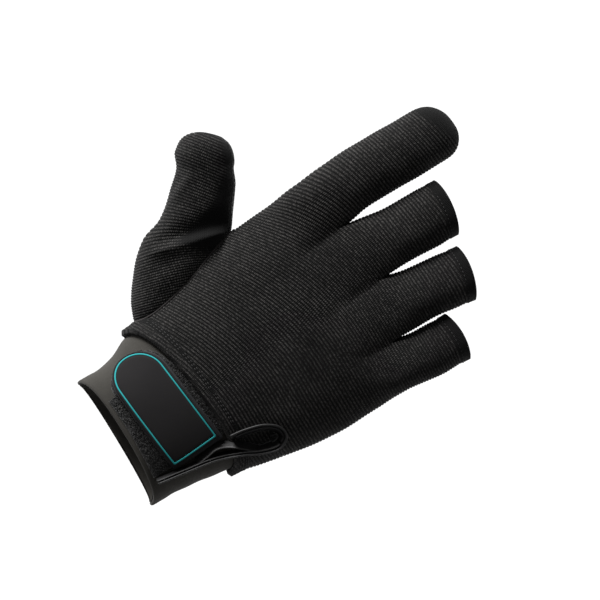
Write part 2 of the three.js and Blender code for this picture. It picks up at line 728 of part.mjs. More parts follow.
function pile(a, b) {
  const distance = lerp(PILE_FROM, PILE_TO, a);
  const hem = skinEdge(distance) - PILE_EDGE;
  return [distance, lerp(cuffEdge(distance) + PILE_EDGE, hem, b)];
}

// Where the wrist hem and the cuff's opening cross the line at a distance round the wrist.
const wristAngle = (distance) => Math.PI / 2 - distance / (WRIST_WIDTH / 2);
const skinEdge = (distance) => skinPoint(wristAngle(distance), hand_knots[0]).y;
const cuffEdge = (distance) => cuffPoint(wristAngle(distance), 0).y;

// The pull tab stands on its edge along its route.
function tabNet() {
  const net = new Net();
  const knots = TAB_ROUTE.map((_, n) => n);
  const points = TAB_ROUTE.map((r) => v3((r.side * WRIST_WIDTH) / 2, r.along * PALM_LENGTH, 0));
  const count = (TAB_ROUTE.length - 1) * TAB_SPLIT;
  const edges = [];
  for (let n = 0; n <= count; n++) {
    const p = curve(knots, points, n / TAB_SPLIT);
    const { point, normal } = groundAt(p.x, p.y);
    const stand = v3(normal.x, 0, normal.z).normalize().lerp(v3(0, 0, 1), TAB_UPRIGHT).normalize();
    const foot = point.clone().addScaledVector(normal, CLEARANCE + TAB_WALL / 2);
    edges.push([foot, foot.clone().addScaledVector(stand, TAB_WIDTH)]);
  }
  edges.forEach(([low, high], n) => {
    if (n === 0) return;
    const at = (m, b) => net.corner(`${m},${b}`, () => edges[m][b]);
    net.quad(NEOPRENE, [at(n - 1, 0), at(n - 1, 1), at(n, 1), at(n, 0)]);
  });
  return net;
}

// Outermost surface of the back at x, y: the cuff before the hem, the hem and the back after it.
function groundAt(x, y) {
  const find = (surface, low, high) => {
    let angle = 1;
    let t = low;
    for (let n = 0; n < 12; n++) {
      let from = low;
      let to = high;
      for (let m = 0; m < 20; m++) {
        t = (from + to) / 2;
        if (surface(angle, t).y < y) from = t;
        else to = t;
      }
      let left = Math.PI / 2;
      let right = 0;
      for (let m = 0; m < 20; m++) {
        angle = (left + right) / 2;
        if (surface(angle, t).x < x) left = angle;
        else right = angle;
      }
    }
    return { point: surface(angle, t), normal: facing(surface, angle, t) };
  };
  const edge = skinPoint(Math.acos(clamp(x / (WRIST_WIDTH / 2) / 1.2, -1, 1)), hand_knots[0]).y;
  const on_hand = smoothstep(y, edge - TAB_RAMP, edge - 1);
  if (on_hand >= 1) {
    const { point, normal } = find(skinPoint, hand_knots[0], hand_knots.at(-1));
    return { point: point.addScaledVector(normal, HEM_PROUD), normal };
  }
  const { point, normal } = find(cuffPoint, 0, 1);
  return { point: point.addScaledVector(normal, on_hand * (KNIT_WALL + CLEARANCE + HEM_PROUD)), normal };
}

const wasm = await Module();
wasm.setup();

const glove = gloveNet();
const thumb = thumbNet();
const hand_body = filled(glove, SEAM_INSET);
const thumb_body = filled(thumb, SEAM_INSET);
const group = new THREE.Group();

const LOOKS = {
  knit: { color: 0x17171a, roughness: 0.92, metalness: 0 },
  leather: { color: 0x141416, roughness: 0.5, metalness: 0 },
  neoprene: { color: 0x35342f, roughness: 0.85, metalness: 0 },
  pile: { color: 0x121214, roughness: 1, metalness: 0 },
  strap: { color: 0x0e0e10, roughness: 0.8, metalness: 0 },
  rubber: { color: 0x1c1c1f, roughness: 0.45, metalness: 0 },
  line: { color: 0x2fa6a8, roughness: 0.45, metalness: 0 },
};
function add(name, body, look) {
  const mesh = body.getMesh();
  const geometry = new THREE.BufferGeometry();
  geometry.setAttribute("position", new THREE.BufferAttribute(new Float32Array(mesh.vertProperties), 3));
  geometry.setIndex(new THREE.BufferAttribute(new Uint32Array(mesh.triVerts), 1));
  geometry.computeVertexNormals();
  const made = new THREE.Mesh(geometry, new THREE.MeshStandardMaterial(look));
  made.name = name;
  group.add(made);
}

const rise = (net) => (n) => hemRise(net.places[n]);
const strap_lift = CLEARANCE + PILE_WALL + CLEARANCE;
const badge_lift = strap_lift + STRAP_WALL + CLEARANCE;
const line_lift = badge_lift + BADGE_WALL + CLEARANCE;

add("back_panel", panel(glove, KNIT, KNIT_WALL, rise(glove)).subtract(thumb_body), LOOKS.knit);
add("palm_panel", panel(glove, LEATHER, LEATHER_WALL, rise(glove)).subtract(thumb_body), LOOKS.leather);
add("thumb_back", panel(thumb, KNIT, KNIT_WALL).subtract(hand_body), LOOKS.knit);
add("thumb_palm", panel(thumb, LEATHER, LEATHER_WALL).subtract(hand_body), LOOKS.leather);
add("wrist_cuff", panel(cuffNet(), NEOPRENE, NEOPRENE_WALL), LOOKS.neoprene);
add("pile_field", layer(pile, PILE_FACES, CLEARANCE, PILE_WALL), LOOKS.pile);
add("strap", layer(tongue(STRAP_MARGIN, STRAP_ROOT), STRAP_FACES, strap_lift, STRAP_WALL), LOOKS.strap);
add("badge", layer(tongue(0, 0), BADGE_FACES, badge_lift, BADGE_WALL), LOOKS.rubber);
add("badge_line", layer(rim(LINE_MARGIN, LINE_WIDTH), LINE_FACES, line_lift, LINE_WALL, true), LOOKS.line);
add("pull_loop", panel(tabNet(), NEOPRENE, TAB_WALL / 2, () => TAB_WALL / 2), LOOKS.leather);

export default group;
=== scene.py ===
import math
from functools import partial

import bmesh
import bpy
import numpy as np
from mathutils import Matrix, Vector
from mathutils.bvhtree import BVHTree


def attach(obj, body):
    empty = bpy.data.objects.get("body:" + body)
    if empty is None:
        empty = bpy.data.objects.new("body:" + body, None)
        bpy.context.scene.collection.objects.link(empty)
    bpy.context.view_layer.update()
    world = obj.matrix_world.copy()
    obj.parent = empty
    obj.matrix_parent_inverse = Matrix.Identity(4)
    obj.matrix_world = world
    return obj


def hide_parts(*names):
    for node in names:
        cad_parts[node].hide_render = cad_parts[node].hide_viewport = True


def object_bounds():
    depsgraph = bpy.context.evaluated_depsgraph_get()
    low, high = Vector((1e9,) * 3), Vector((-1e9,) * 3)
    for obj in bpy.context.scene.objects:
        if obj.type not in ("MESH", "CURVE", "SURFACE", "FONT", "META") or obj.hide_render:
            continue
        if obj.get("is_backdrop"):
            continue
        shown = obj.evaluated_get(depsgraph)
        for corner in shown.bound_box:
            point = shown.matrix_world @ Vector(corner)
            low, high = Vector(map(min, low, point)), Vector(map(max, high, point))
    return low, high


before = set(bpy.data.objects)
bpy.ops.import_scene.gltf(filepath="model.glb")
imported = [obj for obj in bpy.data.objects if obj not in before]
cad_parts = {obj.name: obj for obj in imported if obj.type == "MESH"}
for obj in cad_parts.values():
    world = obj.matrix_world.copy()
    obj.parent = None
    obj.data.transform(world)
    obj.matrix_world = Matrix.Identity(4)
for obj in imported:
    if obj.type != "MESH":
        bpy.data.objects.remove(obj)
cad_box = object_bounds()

# Lengths are millimetres up to the making of a mesh, which is in metres.
MM = 0.001

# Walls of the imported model
KNIT_WALL = 1.4
LEATHER_WALL = 1.2
NEOPRENE_WALL = 2.0
PILE_WALL = 0.8
STRAP_WALL = 1.5
BADGE_WALL = 1.4
CLEARANCE = 0.3
SEAM_OVERLAP = 0.06  # columns by which the leather reaches under the knit

# The hand's surface, with the named sizes and tables of the part's source
PALM_LENGTH = 130
HAND_WIDTH = 100.6
PALM_DEPTH = 38
WRIST_WIDTH = 60.4
WRIST_DEPTH = 39
WRIST_HEM_WIDTH = 7
FINGER_HEM_WIDTH = 4
WEB_DROP = 5
OUTLINE_POWER = 2.3
FINGERS_OFFSET = -5.1
FINGER_RISE = 3
FINGER_DROOP = 0.1
OUTER_INSET = 2
OUTER_WEB = 0.93
EDGE_COSINE = 0.87
THUMB_LENGTH = 84
THUMB_WIDTH = 29
THUMB_DEPTH = 25
THUMB_AIM = math.radians(135)
THUMB_ROOT_SIDE = -0.312
THUMB_ROOT_ALONG = 0.31
CUFF_TUCK = 7
CUFF_END = 1.215
RING = 16

# The fingers from the index finger on
FINGER_KEYS = ("closed", "width", "depth", "length", "gap", "web", "base", "splay", "slant")
FINGERS = [
    (True, 0.2505, 0.563, 0.457, 0, 1, 1, 0, -0.1),
    (False, 0.2445, 0.553, 0.281, 0.0318, 1.023, 1.02, 0.04, 0.11),
    (False, 0.2326, 0.537, 0.237, 0.0129, 0.954, 1.01, 0.12, 0.19),
    (False, 0.2147, 0.495, 0.169, 0.0129, 0.9, 0.95, 0.03, 0.03),
]
# at, radial, ulnar, arch, left, right, back, palm
HAND_SECTIONS = [
    (0.25, 0.2, 0.262, 0.095, -0.372, 0.35, 0.53, 0.49),
    (0.36, 0.33, 0.36, 0.06, -0.407, 0.384, 0.53, 0.52),
    (0.475, 0.46, 0.475, 0.03, -0.446, 0.413, 0.515, 0.51),
    (0.625, 0.63, 0.615, 0.01, -0.497, 0.437, 0.49, 0.46),
    (0.78, 0.79, 0.755, 0, -0.513, 0.434, 0.46, 0.38),
]
# along, width, depth
OPEN_FINGER_SECTIONS = [(0.3, 0.985, 0.98), (0.62, 0.99, 0.97), (1, 1.03, 1.03)]
CLOSED_FINGER_SECTIONS = [
    (0.17, 0.985, 0.98),
    (0.45, 0.99, 0.95),
    (0.7, 0.99, 0.92),
    (0.79, 0.985, 0.87),
    (0.85, 0.94, 0.84),
    (0.94, 0.76, 0.66),
    (0.985, 0.44, 0.36),
    (1, 0, 0),
]
# along, side, rise, width, depth
THUMB_SECTIONS = [
    (0.0, -0.027, -0.04, 0.62, 0.8),
    (0.095, -0.029, -0.04, 0.84, 1.0),
    (0.27, -0.008, -0.035, 1.1, 1.08),
    (0.41, 0.008, -0.03, 1.14, 1.05),
    (0.53, 0.046, -0.02, 1.05, 0.98),
    (0.675, 0.044, -0.01, 0.94, 0.9),
    (0.79, 0.038, 0, 0.88, 0.85),
    (0.88, 0.011, 0.005, 0.88, 0.76),
    (0.94, 0.006, 0.005, 0.71, 0.6),
    (0.98, 0.012, 0.005, 0.44, 0.36),
    (1, 0.02, 0.005, 0, 0),
]
# along, side, to_along, to_side, reach, rise
THUMB_FOLDS = [
    (0.36, -0.1, 0.52, 0.18, 0.036, 0.055),
    (0.44, -0.07, 0.6, 0.17, 0.05, -0.07),
    (0.2, -0.06, 0.35, 0.05, 0.04, 0.03),
]
# Sharp creases, by the same columns
THUMB_CREASES = [
    (0.35, -0.12, 0.55, 0.215, 0.014, 0.05),
    (0.41, -0.1, 0.6, 0.21, 0.03, -0.045),
    (0.54, -0.135, 0.77, -0.03, 0.016, 0.04),
    (0.52, -0.17, 0.74, -0.08, 0.02, -0.035),
]
# at, along, arch, width, depth
CUFF_SECTIONS = [(0, 0, 0.06, 1, 1), (0.45, 0.1, 0.07, 1.01, 0.98)]

# The border of the thumb's smooth side
THUMB_PLAIN_ALONG = (0.42, 0.509, 0.652, 0.838, 0.94, 1)
THUMB_PLAIN_SIDE = (-0.02, 0.021, 0.103, 0.128, 0.075, 0.06)

# from_x, from_y, to_x, to_y, sag, reach, depth
PALM_CREASES = [
    (-44, 92, 2, 62, 7, 1.1, 0.5),
    (-20, 112, 40, 96, -5, 1.1, 0.5),
    (-46, 88, -8, 38, -9, 1.3, 0.45),
    (8, 44, 22, 96, 4, 1.2, 0.3),
    (-56, 134, -32, 134, 1, 1.2, 0.3),
    (-56, 152, -32, 153, -1, 1.3, 0.32),
    (-56, 172, -33, 173, 1, 1.2, 0.28),
    (-28, 140, -5, 139, 1, 1.1, 0.3),
    (-4, 139, 18, 137, -1, 1.1, 0.3),
    (21, 124, 42, 121, 1, 1.1, 0.3),
    (-30, 156, -5, 156, -1, 1.1, 0.28),
    (-2, 152, 22, 150, 1, 1.1, 0.28),
]

# Round ends of the closed finger and the thumb
DOME_POWER = 2.3
DOME_STEPS = 7
INDEX_DOME = 0.8
THUMB_DOME = 0.86
TIP_SHARES = np.array([0.35, 0.6, 0.78, 0.9, 0.97, 1])
TIP_CUT = 0.5

# Ribs of the knit
RIB_PITCH = 1.45
THUMB_RIB_PITCH = 1.2
RIB_HEIGHT = 0.36
RIB_SHAPE = [0, 0.72, 0.96, 1, 0.96, 0.72, 0]
RIB_ROWS = 6

# Rows of the turned edges, of the wrist hem and of a finger's opening
EDGE_ROWS = 4
EDGE_PROUD = 0.6
KNIT_HEM_ROWS = 29
LEATHER_HEM_ROWS = 6
OPENING_ROWS = 6
OPENING_REACH = 11
SEAM_DEPTH = 0.55


def lerp(a, b, share):
    return a + (b - a) * share


def smooth(x, low, high):
    s = np.clip((np.asarray(x, float) - low) / (high - low), 0, 1)
    return s * s * (3 - 2 * s)


def domed(sections, start, across):
    """Sections with a round end: those before the start, then a dome of the last one's size."""
    kept = [row for row in sections if row[0] < start]
    tail = [row for row in sections if row[0] >= start]
    starts = [row[0] for row in tail]
    width, depth = kept[-1][-2:]
    rows = []
    for n in range(DOME_STEPS + 1):
        s = math.sin(n / DOME_STEPS * math.pi / 2)
        size = (1 - s**DOME_POWER) ** (1 / DOME_POWER) if n < DOME_STEPS else 0
        along = start + (1 - start) * s
        between = [float(np.interp(along, starts, [row[m] for row in tail])) for m in across]
        rows.append((along, *between, width * size, depth * size))
    return kept + rows


def rounded(value):
    return np.sign(value) * np.abs(value) ** (2 / OUTLINE_POWER)


def unit(v):
    return v / np.maximum(np.linalg.norm(v, axis=-1, keepdims=True), 1e-12)


def curve(knots, points, bend=None):
    """A curve through points at rising knots. A bend (index, slope, weight) turns the slope at one."""
    knots = np.array(knots, float)
    points = np.array(points, float)
    last = len(knots) - 1
    low = np.maximum(np.arange(last + 1) - 1, 0)
    high = np.minimum(np.arange(last + 1) + 1, last)
    slopes = (points[high] - points[low]) / (knots[high] - knots[low])[:, None]
    if bend:
        at, slope, weight = bend
        slopes[at] = lerp(slopes[at], slope, weight)

    def at(t):
        t = np.asarray(t, float)
        i = np.searchsorted(knots[1:-1], t, side="left")
        span = (knots[i + 1] - knots[i])[..., None]
        s = (t[..., None] - knots[i][..., None]) / span
        return (
            points[i] * (2 * s**3 - 3 * s**2 + 1)
            + slopes[i] * (s**3 - 2 * s**2 + s) * span
            + points[i + 1] * (3 * s**2 - 2 * s**3)
            + slopes[i + 1] * (s**3 - s**2) * span
        )

    return at


hand_left = FINGERS_OFFSET - HAND_WIDTH / 2
hand_right = FINGERS_OFFSET + HAND_WIDTH / 2
fingers = []
edge = hand_left
for row in FINGERS:
    finger = dict(zip(FINGER_KEYS, row))
    for key, size in (
        ("width", HAND_WIDTH),
        ("gap", HAND_WIDTH),
        ("depth", PALM_DEPTH),
        ("length", PALM_LENGTH),
        ("web", PALM_LENGTH),
        ("base", PALM_LENGTH),
    ):
        finger[key] *= size
    finger["middle"] = edge + finger["gap"] + finger["width"] / 2
    edge = finger["middle"] + finger["width"] / 2
    if finger["closed"]:
        finger["sections"] = domed(CLOSED_FINGER_SECTIONS, INDEX_DOME, ())
    else:
        finger["sections"] = OPEN_FINGER_SECTIONS
    finger["end"] = 1 + finger["length"] / PALM_LENGTH
    fingers.append(finger)
webs = [(hand_left, OUTER_WEB * PALM_LENGTH)]
for i, finger in enumerate(fingers):
    after = fingers[i + 1] if i + 1 < len(fingers) else None
    x = finger["middle"] + finger["width"] / 2 + after["gap"] / 2 if after else hand_right
    webs.append((x, finger["web"]))
DIAGONAL = math.cos(math.pi / 4)
LAST = len(fingers) - 1


def hand_angle(i, k):
    side = math.acos(EDGE_COSINE)
    c = math.cos(k / RING * 2 * math.pi) / DIAGONAL
    reach = lerp(webs[i][0], webs[i + 1][0], (1 + c) / 2)
    across = (reach - hand_left) / (hand_right - hand_left)
    if 2 <= k <= 6:
        return math.acos(lerp(-EDGE_COSINE, EDGE_COSINE, across))
    if 6 < k < 10:
        return math.pi + (k - RING / 2) / 2 * side
    if k < 2:
        return k / 2 * side
    if k > 14:
        return (k - RING) / 2 * side
    return -math.acos(lerp(-EDGE_COSINE, EDGE_COSINE, across))


def hand_point(section, angle):
    _, radial, ulnar, arch, left, right, back, palm = section
    c = rounded(math.cos(angle))
    s = rounded(math.sin(angle))
    sideways = (1 + c) / 2
    along = lerp(radial, ulnar, sideways) + arch * max(0, s)
    x = lerp(left, right, sideways) * HAND_WIDTH
    return (x, along * PALM_LENGTH, s * (back if s > 0 else palm) * PALM_DEPTH)


def finger_point(finger, section, angle):
    along, width, depth = section
    distance = along * finger["length"]
    side = rounded(math.cos(angle)) * width * finger["width"] / 2
    up = rounded(math.sin(angle)) * depth * finger["depth"] / 2
    return (
        finger["middle"] + finger["splay"] * distance + side,
        finger["base"] + distance - finger["slant"] * side * along,
        FINGER_RISE - FINGER_DROOP * distance * along + up,
    )


def root_point(i, k):
    finger = fingers[i]
    angle = k / RING * 2 * math.pi
    s = math.sin(angle)
    c = min(1, max(-1, math.cos(angle) / DIAGONAL))
    share = (1 + c) / 2
    y = lerp(webs[i][1], webs[i + 1][1], share) - WEB_DROP * float(smooth(s, -0.1, 0.75))
    own = rounded(s) * finger["depth"] / 2
    if (c < 0 and i == 0) or (c > 0 and i == LAST):
        side = rounded(math.cos(angle)) * finger["width"] / 2 - math.copysign(OUTER_INSET * abs(c), c)
        return (finger["middle"] + side, y, FINGER_RISE + own)
    beside = fingers[i - 1 if c < 0 else min(i + 1, LAST)]
    shared = rounded(s) * (finger["depth"] + beside["depth"]) / 4
    return (lerp(webs[i][0], webs[i + 1][0], share), y, FINGER_RISE + lerp(own, shared, abs(c)))


def is_inner(i, k):
    """Columns on a finger's sides towards another finger start at the web."""
    c = math.cos(k / RING * 2 * math.pi) / DIAGONAL
    return (c > 1.0001 and i < LAST) or (c < -1.0001 and i > 0)


def glove_column(i, k):
    """Column k of finger i: 0 faces +X, 4 the back, 8 -X and 12 the palm; t is 1 at the webs."""
    finger = fingers[i]
    k %= RING
    angle = k / RING * 2 * math.pi
    c = abs(math.cos(angle)) / DIAGONAL
    inner = is_inner(i, k)
    knots = [] if inner else [s[0] for s in HAND_SECTIONS]
    points = [] if inner else [hand_point(s, hand_angle(i, k)) for s in HAND_SECTIONS]
    knots.append(1)
    points.append(root_point(i, k))
    root = len(points) - 1
    for s in finger["sections"]:
        knots.append(1 + s[0] * finger["length"] / PALM_LENGTH)
        points.append(finger_point(finger, s, angle))
    if inner:
        return curve(knots, points)
    before = (np.array(points[root]) - np.array(points[root - 1])) / (knots[root] - knots[root - 1])
    slope = (before + np.array([0, PALM_LENGTH, 0])) / 2
    return curve(knots, points, (root, slope, min(1, c) ** 4))


thumb_sections = domed(THUMB_SECTIONS, THUMB_DOME, (1, 2))
thumb_root = np.array([THUMB_ROOT_SIDE * HAND_WIDTH, THUMB_ROOT_ALONG * PALM_LENGTH, 0])
thumb_aim = np.array([math.cos(THUMB_AIM), math.sin(THUMB_AIM), 0])
thumb_side = np.array([thumb_aim[1], -thumb_aim[0], 0])


def thumb_place(points):
    from_root = (points - thumb_root) / THUMB_LENGTH
    return from_root @ thumb_aim, from_root @ thumb_side


def beside(x, y, from_x, from_y, to_x, to_y):
    """Where places lie by a line: the share of it that they are on, and how far off it they are."""
    run = math.hypot(to_x - from_x, to_y - from_y)
    c, s = (to_x - from_x) / run, (to_y - from_y) / run
    return ((x - from_x) * c + (y - from_y) * s) / run, (y - from_y) * c - (x - from_x) * s


def thumb_fold(points):
    """How far the folds and creases over the back of the thumb raise it."""
    along, side = thumb_place(points)
    rise = np.zeros(along.shape)
    for *line, reach, height in THUMB_FOLDS:
        on, off = beside(along, side, *line)
        fade = smooth(on, -0.3, 0.25) * (1 - smooth(on, 0.85, 1.3))
        rise += height * THUMB_DEPTH * fade * np.exp(-((off / reach) ** 2))
    for *line, reach, height in THUMB_CREASES:
        on, off = beside(along, side, *line)
        fade = smooth(on, -0.15, 0.15) * (1 - smooth(on, 0.85, 1.15))
        rise += height * THUMB_DEPTH * fade * np.exp(-np.sqrt((off / reach) ** 2 + 0.02))
    return rise


def thumb_column(k):
    """Column k of the thumb: 0 faces the index finger, 4 the back; t is 0 at its root and 1 at its tip."""
    angle = k / RING * 2 * math.pi
    points = []
    for along, side, rise, width, depth in thumb_sections:
        across = side * THUMB_LENGTH + rounded(math.cos(angle)) * width * THUMB_WIDTH / 2
        up = rise * THUMB_LENGTH + rounded(math.sin(angle)) * depth * THUMB_DEPTH / 2
        middle = thumb_root + thumb_aim * along * THUMB_LENGTH
        points.append(middle + thumb_side * across + np.array([0, 0, up]))
    on = curve([s[0] for s in thumb_sections], points)
    on_back = float(smooth(math.sin(angle), 0.1, 0.7))

    def at(t):
        p = on(t)
        p[..., 2] += on_back * thumb_fold(p)
        return p

    return at


hand_knots = [s[0] for s in HAND_SECTIONS]


def skin_column(angle):
    return curve(hand_knots, [hand_point(s, angle) for s in HAND_SECTIONS])


def facing(column_of, k, t, turn=0.01, step=0.003, apart=None):
    """The way out of a surface at t on its column k. Apart tells of columns that it doesn't join."""
    on = column_of(k)
    low, high = [k if apart and apart(k, beyond) else beyond for beyond in (k - turn, k + turn)]
    return unit(np.cross(on(t + step) - on(t - step), column_of(high)(t) - column_of(low)(t)))


def cuff_column(angle):
    points = []
    for _, along, arch, width, depth in CUFF_SECTIONS:
        up = rounded(math.sin(angle))
        x = rounded(math.cos(angle)) * width * WRIST_WIDTH / 2
        y = (along + arch * max(0, up)) * PALM_LENGTH
        points.append((x, y, up * depth * WRIST_DEPTH / 2))
    for by in (0, CUFF_TUCK):
        t = hand_knots[0] + by / PALM_LENGTH
        points.append(skin_column(angle)(t) - facing(skin_column, angle, t) * (KNIT_WALL + CLEARANCE))
    return curve([s[0] for s in CUFF_SECTIONS] + [1, CUFF_END], points)


# A shell is made of patches: grids of points with the way out, how far the outside stands off each
# point, and the rows that its inside keeps. Points in the same place are one. Across, rib and plain
# are for the fabric's shader. Skip marks points that are hidden, drop cells that have no face.
class Patch:
    def __init__(self, points, normals, lift, keep=None, across=0, rib=0, skip=False, drop=False, plain=0):
        rows, columns = points.shape[:2]
        self.points = points
        self.normals = normals
        self.lift = lift
        self.keep = list(range(rows)) if keep is None else sorted(set(keep))
        self.across, self.rib, self.plain, self.skip = [
            np.broadcast_to(values, (rows, columns)) for values in (across, rib, plain, skip)
        ]
        self.drop = np.broadcast_to(drop, (rows - 1, columns - 1))


LOOKS = ("across", "rib", "plain")


def tidy(ids):
    """Ids of a polygon without repeats next to each other."""
    kept = [n for m, n in enumerate(ids) if n != ids[m - 1]]
    return kept if len(kept) > 2 and len(set(kept)) == len(kept) else None


def shell(name, patches, wall, material, nodes=()):
    """One closed piece of cloth from patches: a fine outside, a coarse inside and rims."""
    flat = np.concatenate([p.points.reshape(-1, 3) for p in patches])
    keys = np.round(flat / 0.01 + 0.37).astype(np.int64)
    _, first, ids = np.unique(keys, axis=0, return_index=True, return_inverse=True)
    ids = ids.reshape(-1)
    count = len(first)
    base = flat[first]
    normals = np.zeros((count, 3))
    np.add.at(normals, ids, np.concatenate([p.normals.reshape(-1, 3) for p in patches]))
    normals = unit(normals)
    lift, *looks = [
        np.concatenate([getattr(p, label).reshape(-1) for p in patches])[first]
        for label in ("lift", *LOOKS)
    ]
    blocks = []
    sides = {}
    start = 0
    for p in patches:
        rows, columns = p.points.shape[:2]
        grid = ids[start:start + rows * columns].reshape(rows, columns)
        start += rows * columns
        for low, high in zip(p.keep, p.keep[1:]):
            for c in range(columns - 1):
                if p.skip[low:high + 1, c:c + 2].all() or p.drop[low:high, c].all():
                    continue
                left = grid[low:high + 1, c]
                right = grid[low:high + 1, c + 1]
                block = []
                for line in (left, right):
                    a, b = int(line[0]), int(line[-1])
                    key = (min(a, b), max(a, b))
                    if a != b or len(set(line.tolist())) > 1:
                        sides[key] = sides.get(key, 0) + 1
                    block.append((key, line.tolist()))
                if left[0] == left[-1] and right[0] == right[-1] and left[0] == right[0]:
                    continue
                blocks.append((*block, p.drop[low:high, c]))
    faces = []
    inner = []
    for (left_key, left), (right_key, right), drop in blocks:
        for j in np.nonzero(~drop)[0]:
            face = tidy([left[j], left[j + 1], right[j + 1], right[j]])
            if face:
                faces.append(face)
        a = left if sides.get(left_key) == 1 else [left[0], left[-1]]
        b = right if sides.get(right_key) == 1 else [right[0], right[-1]]
        face = tidy(a + b[::-1])
        if face:
            inner.append([n + count for n in face[::-1]])
    free = {}
    for face in faces:
        for m, n in enumerate(face):
            before = face[m - 1]
            if (n, before) in free:
                del free[(n, before)]
            else:
                free[(before, n)] = True
    rims = [[b, a, a + count, b + count] for a, b in free]
    points = np.concatenate([base + normals * lift[:, None], base - normals * wall])
    every = faces + inner + rims
    used = np.unique(np.concatenate([np.array(f) for f in every]))
    place = np.full(2 * count, -1)
    place[used] = np.arange(len(used))
    mesh = bpy.data.meshes.new(name)
    mesh.from_pydata((points[used] * MM).tolist(), [], [place[f].tolist() for f in every])
    mesh.validate()
    for label, values in zip(LOOKS, looks):
        attribute = mesh.attributes.new(label, "FLOAT", "POINT")
        attribute.data.foreach_set("value", np.concatenate([values, values])[used].astype(np.float32))
    piece(name, mesh, material, nodes)


def piece(name, mesh, material, nodes=()):
    mesh.polygons.foreach_set("use_smooth", [True] * len(mesh.polygons))
    mesh.materials.append(material)
    made = bpy.data.objects.new(name, mesh)
    bpy.context.scene.collection.objects.link(made)
    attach(made, "root")
    if nodes:
        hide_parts(*nodes)


# Materials
def fill(tree, made, **inputs):
    """Sets or links a node's inputs, by their names or, as i0, i1 and i2, by their numbers."""
    for key, value in inputs.items():
        socket = made.inputs[int(key[1:])] if key[0] == "i" else made.inputs[key.replace("_", " ")]
        if isinstance(value, bpy.types.NodeSocket):
            tree.links.new(value, socket)
        elif value is not None:
            socket.default_value = value


def node(tree, kind, settings=None, **inputs):
    made = tree.nodes.new(kind)
    for key, value in (settings or {}).items():
        setattr(made, key, value)
    fill(tree, made, **inputs)
    return made


def material(name, colour, roughness, specular=0.5, sheen=0.0):
    made = bpy.data.materials.new(name)
    made.use_nodes = True
    shader = made.node_tree.nodes["Principled BSDF"]
    fill(made.node_tree, shader, Base_Color=(*colour, 1), Roughness=roughness, Specular_IOR_Level=specular)
    if sheen:
        fill(made.node_tree, shader, Sheen_Weight=sheen, Sheen_Roughness=0.5)
    return made, made.node_tree, shader


def place(tree):
    return node(tree, "ShaderNodeTexCoord").outputs["Object"]


def noise(tree, scale, detail, rough=0.5):
    made = node(tree, "ShaderNodeTexNoise", Vector=place(tree), Scale=scale, Detail=detail, Roughness=rough)
    return made.outputs["Fac"]


def maths(tree, what, a, b=0.5, c=0.5):
    return node(tree, "ShaderNodeMath", {"operation": what}, i0=a, i1=b, i2=c).outputs[0]


KNIT_TONES = [
    (0.0, (0.0003, 0.0003, 0.0003)),
    (0.4, (0.0012, 0.0011, 0.0011)),
    (0.75, (0.012, 0.0114, 0.0109)),
    (1.0, (0.038, 0.036, 0.0345)),
]


def ramp(tree, value, stops):
    made = tree.nodes.new("ShaderNodeValToRGB")
    tree.links.new(value, made.inputs[0])
    while len(made.color_ramp.elements) < len(stops):
        made.color_ramp.elements.new(0.5)
    for element, (at, colour) in zip(made.color_ramp.elements, stops):
        element.position = at
        element.color = (*colour, 1)
    return made.outputs["Color"]


def bump(tree, height, strength, distance, after=None):
    made = node(tree, "ShaderNodeBump", Strength=strength, Distance=distance, Height=height, Normal=after)
    return made.outputs["Normal"]


def attribute(tree, name):
    return node(tree, "ShaderNodeAttribute", {"attribute_name": name}).outputs["Fac"]


def knit_material():
    made, tree, shader = material("knit_fabric", (0.01, 0.01, 0.01), 0.9, specular=0.1, sheen=0.03)
    rib = attribute(tree, "rib")
    across = attribute(tree, "across")
    in_rib = maths(tree, "FRACT", rib)
    # Painted light and shade: the colour is lightest on the rib crests and darkens in the grooves between
    # them, where shade falls.
    painted_rib_shade = maths(tree, "SINE", maths(tree, "MULTIPLY", in_rib, math.pi))
    row = maths(tree, "FLOOR", rib)
    stagger = maths(tree, "MULTIPLY", row, 2.4)
    yarn = maths(tree, "SINE", maths(tree, "MULTIPLY_ADD", across, 2 * math.pi / 0.74, stagger))
    yarn = maths(tree, "MULTIPLY_ADD", yarn, 0.5, 0.5)
    uneven = noise(tree, 45, 3)
    fibre = noise(tree, 1500, 3, 0.7)
    speck = maths(tree, "POWER", fibre, 3.2)
    # The painted shade of the rib grooves goes into the knit's colour here.
    tone = maths(tree, "MULTIPLY_ADD", painted_rib_shade, 0.75, 0.1)
    tone = maths(tree, "MULTIPLY", tone, maths(tree, "MULTIPLY_ADD", uneven, 0.7, 0.65))
    tone = maths(tree, "MULTIPLY", tone, maths(tree, "MULTIPLY_ADD", speck, 5.0, 0.35))
    tone = maths(tree, "MULTIPLY", tone, maths(tree, "MULTIPLY_ADD", yarn, 0.5, 0.7))
    smooth_tone = maths(tree, "MULTIPLY_ADD", speck, 0.9, 0.06)
    plain = attribute(tree, "plain")
    tone = node(tree, "ShaderNodeMix", {"data_type": "FLOAT"}, i0=plain, i2=tone, i3=smooth_tone).outputs[0]
    rough = maths(tree, "MULTIPLY_ADD", fibre, 0.2, 0.78)
    height = maths(tree, "MULTIPLY_ADD", yarn, 0.5, maths(tree, "MULTIPLY", fibre, 0.9))
    normal = bump(tree, height, 0.8, 0.0003)
    fill(tree, shader, Base_Color=ramp(tree, tone, KNIT_TONES), Roughness=rough, Normal=normal)
    return made


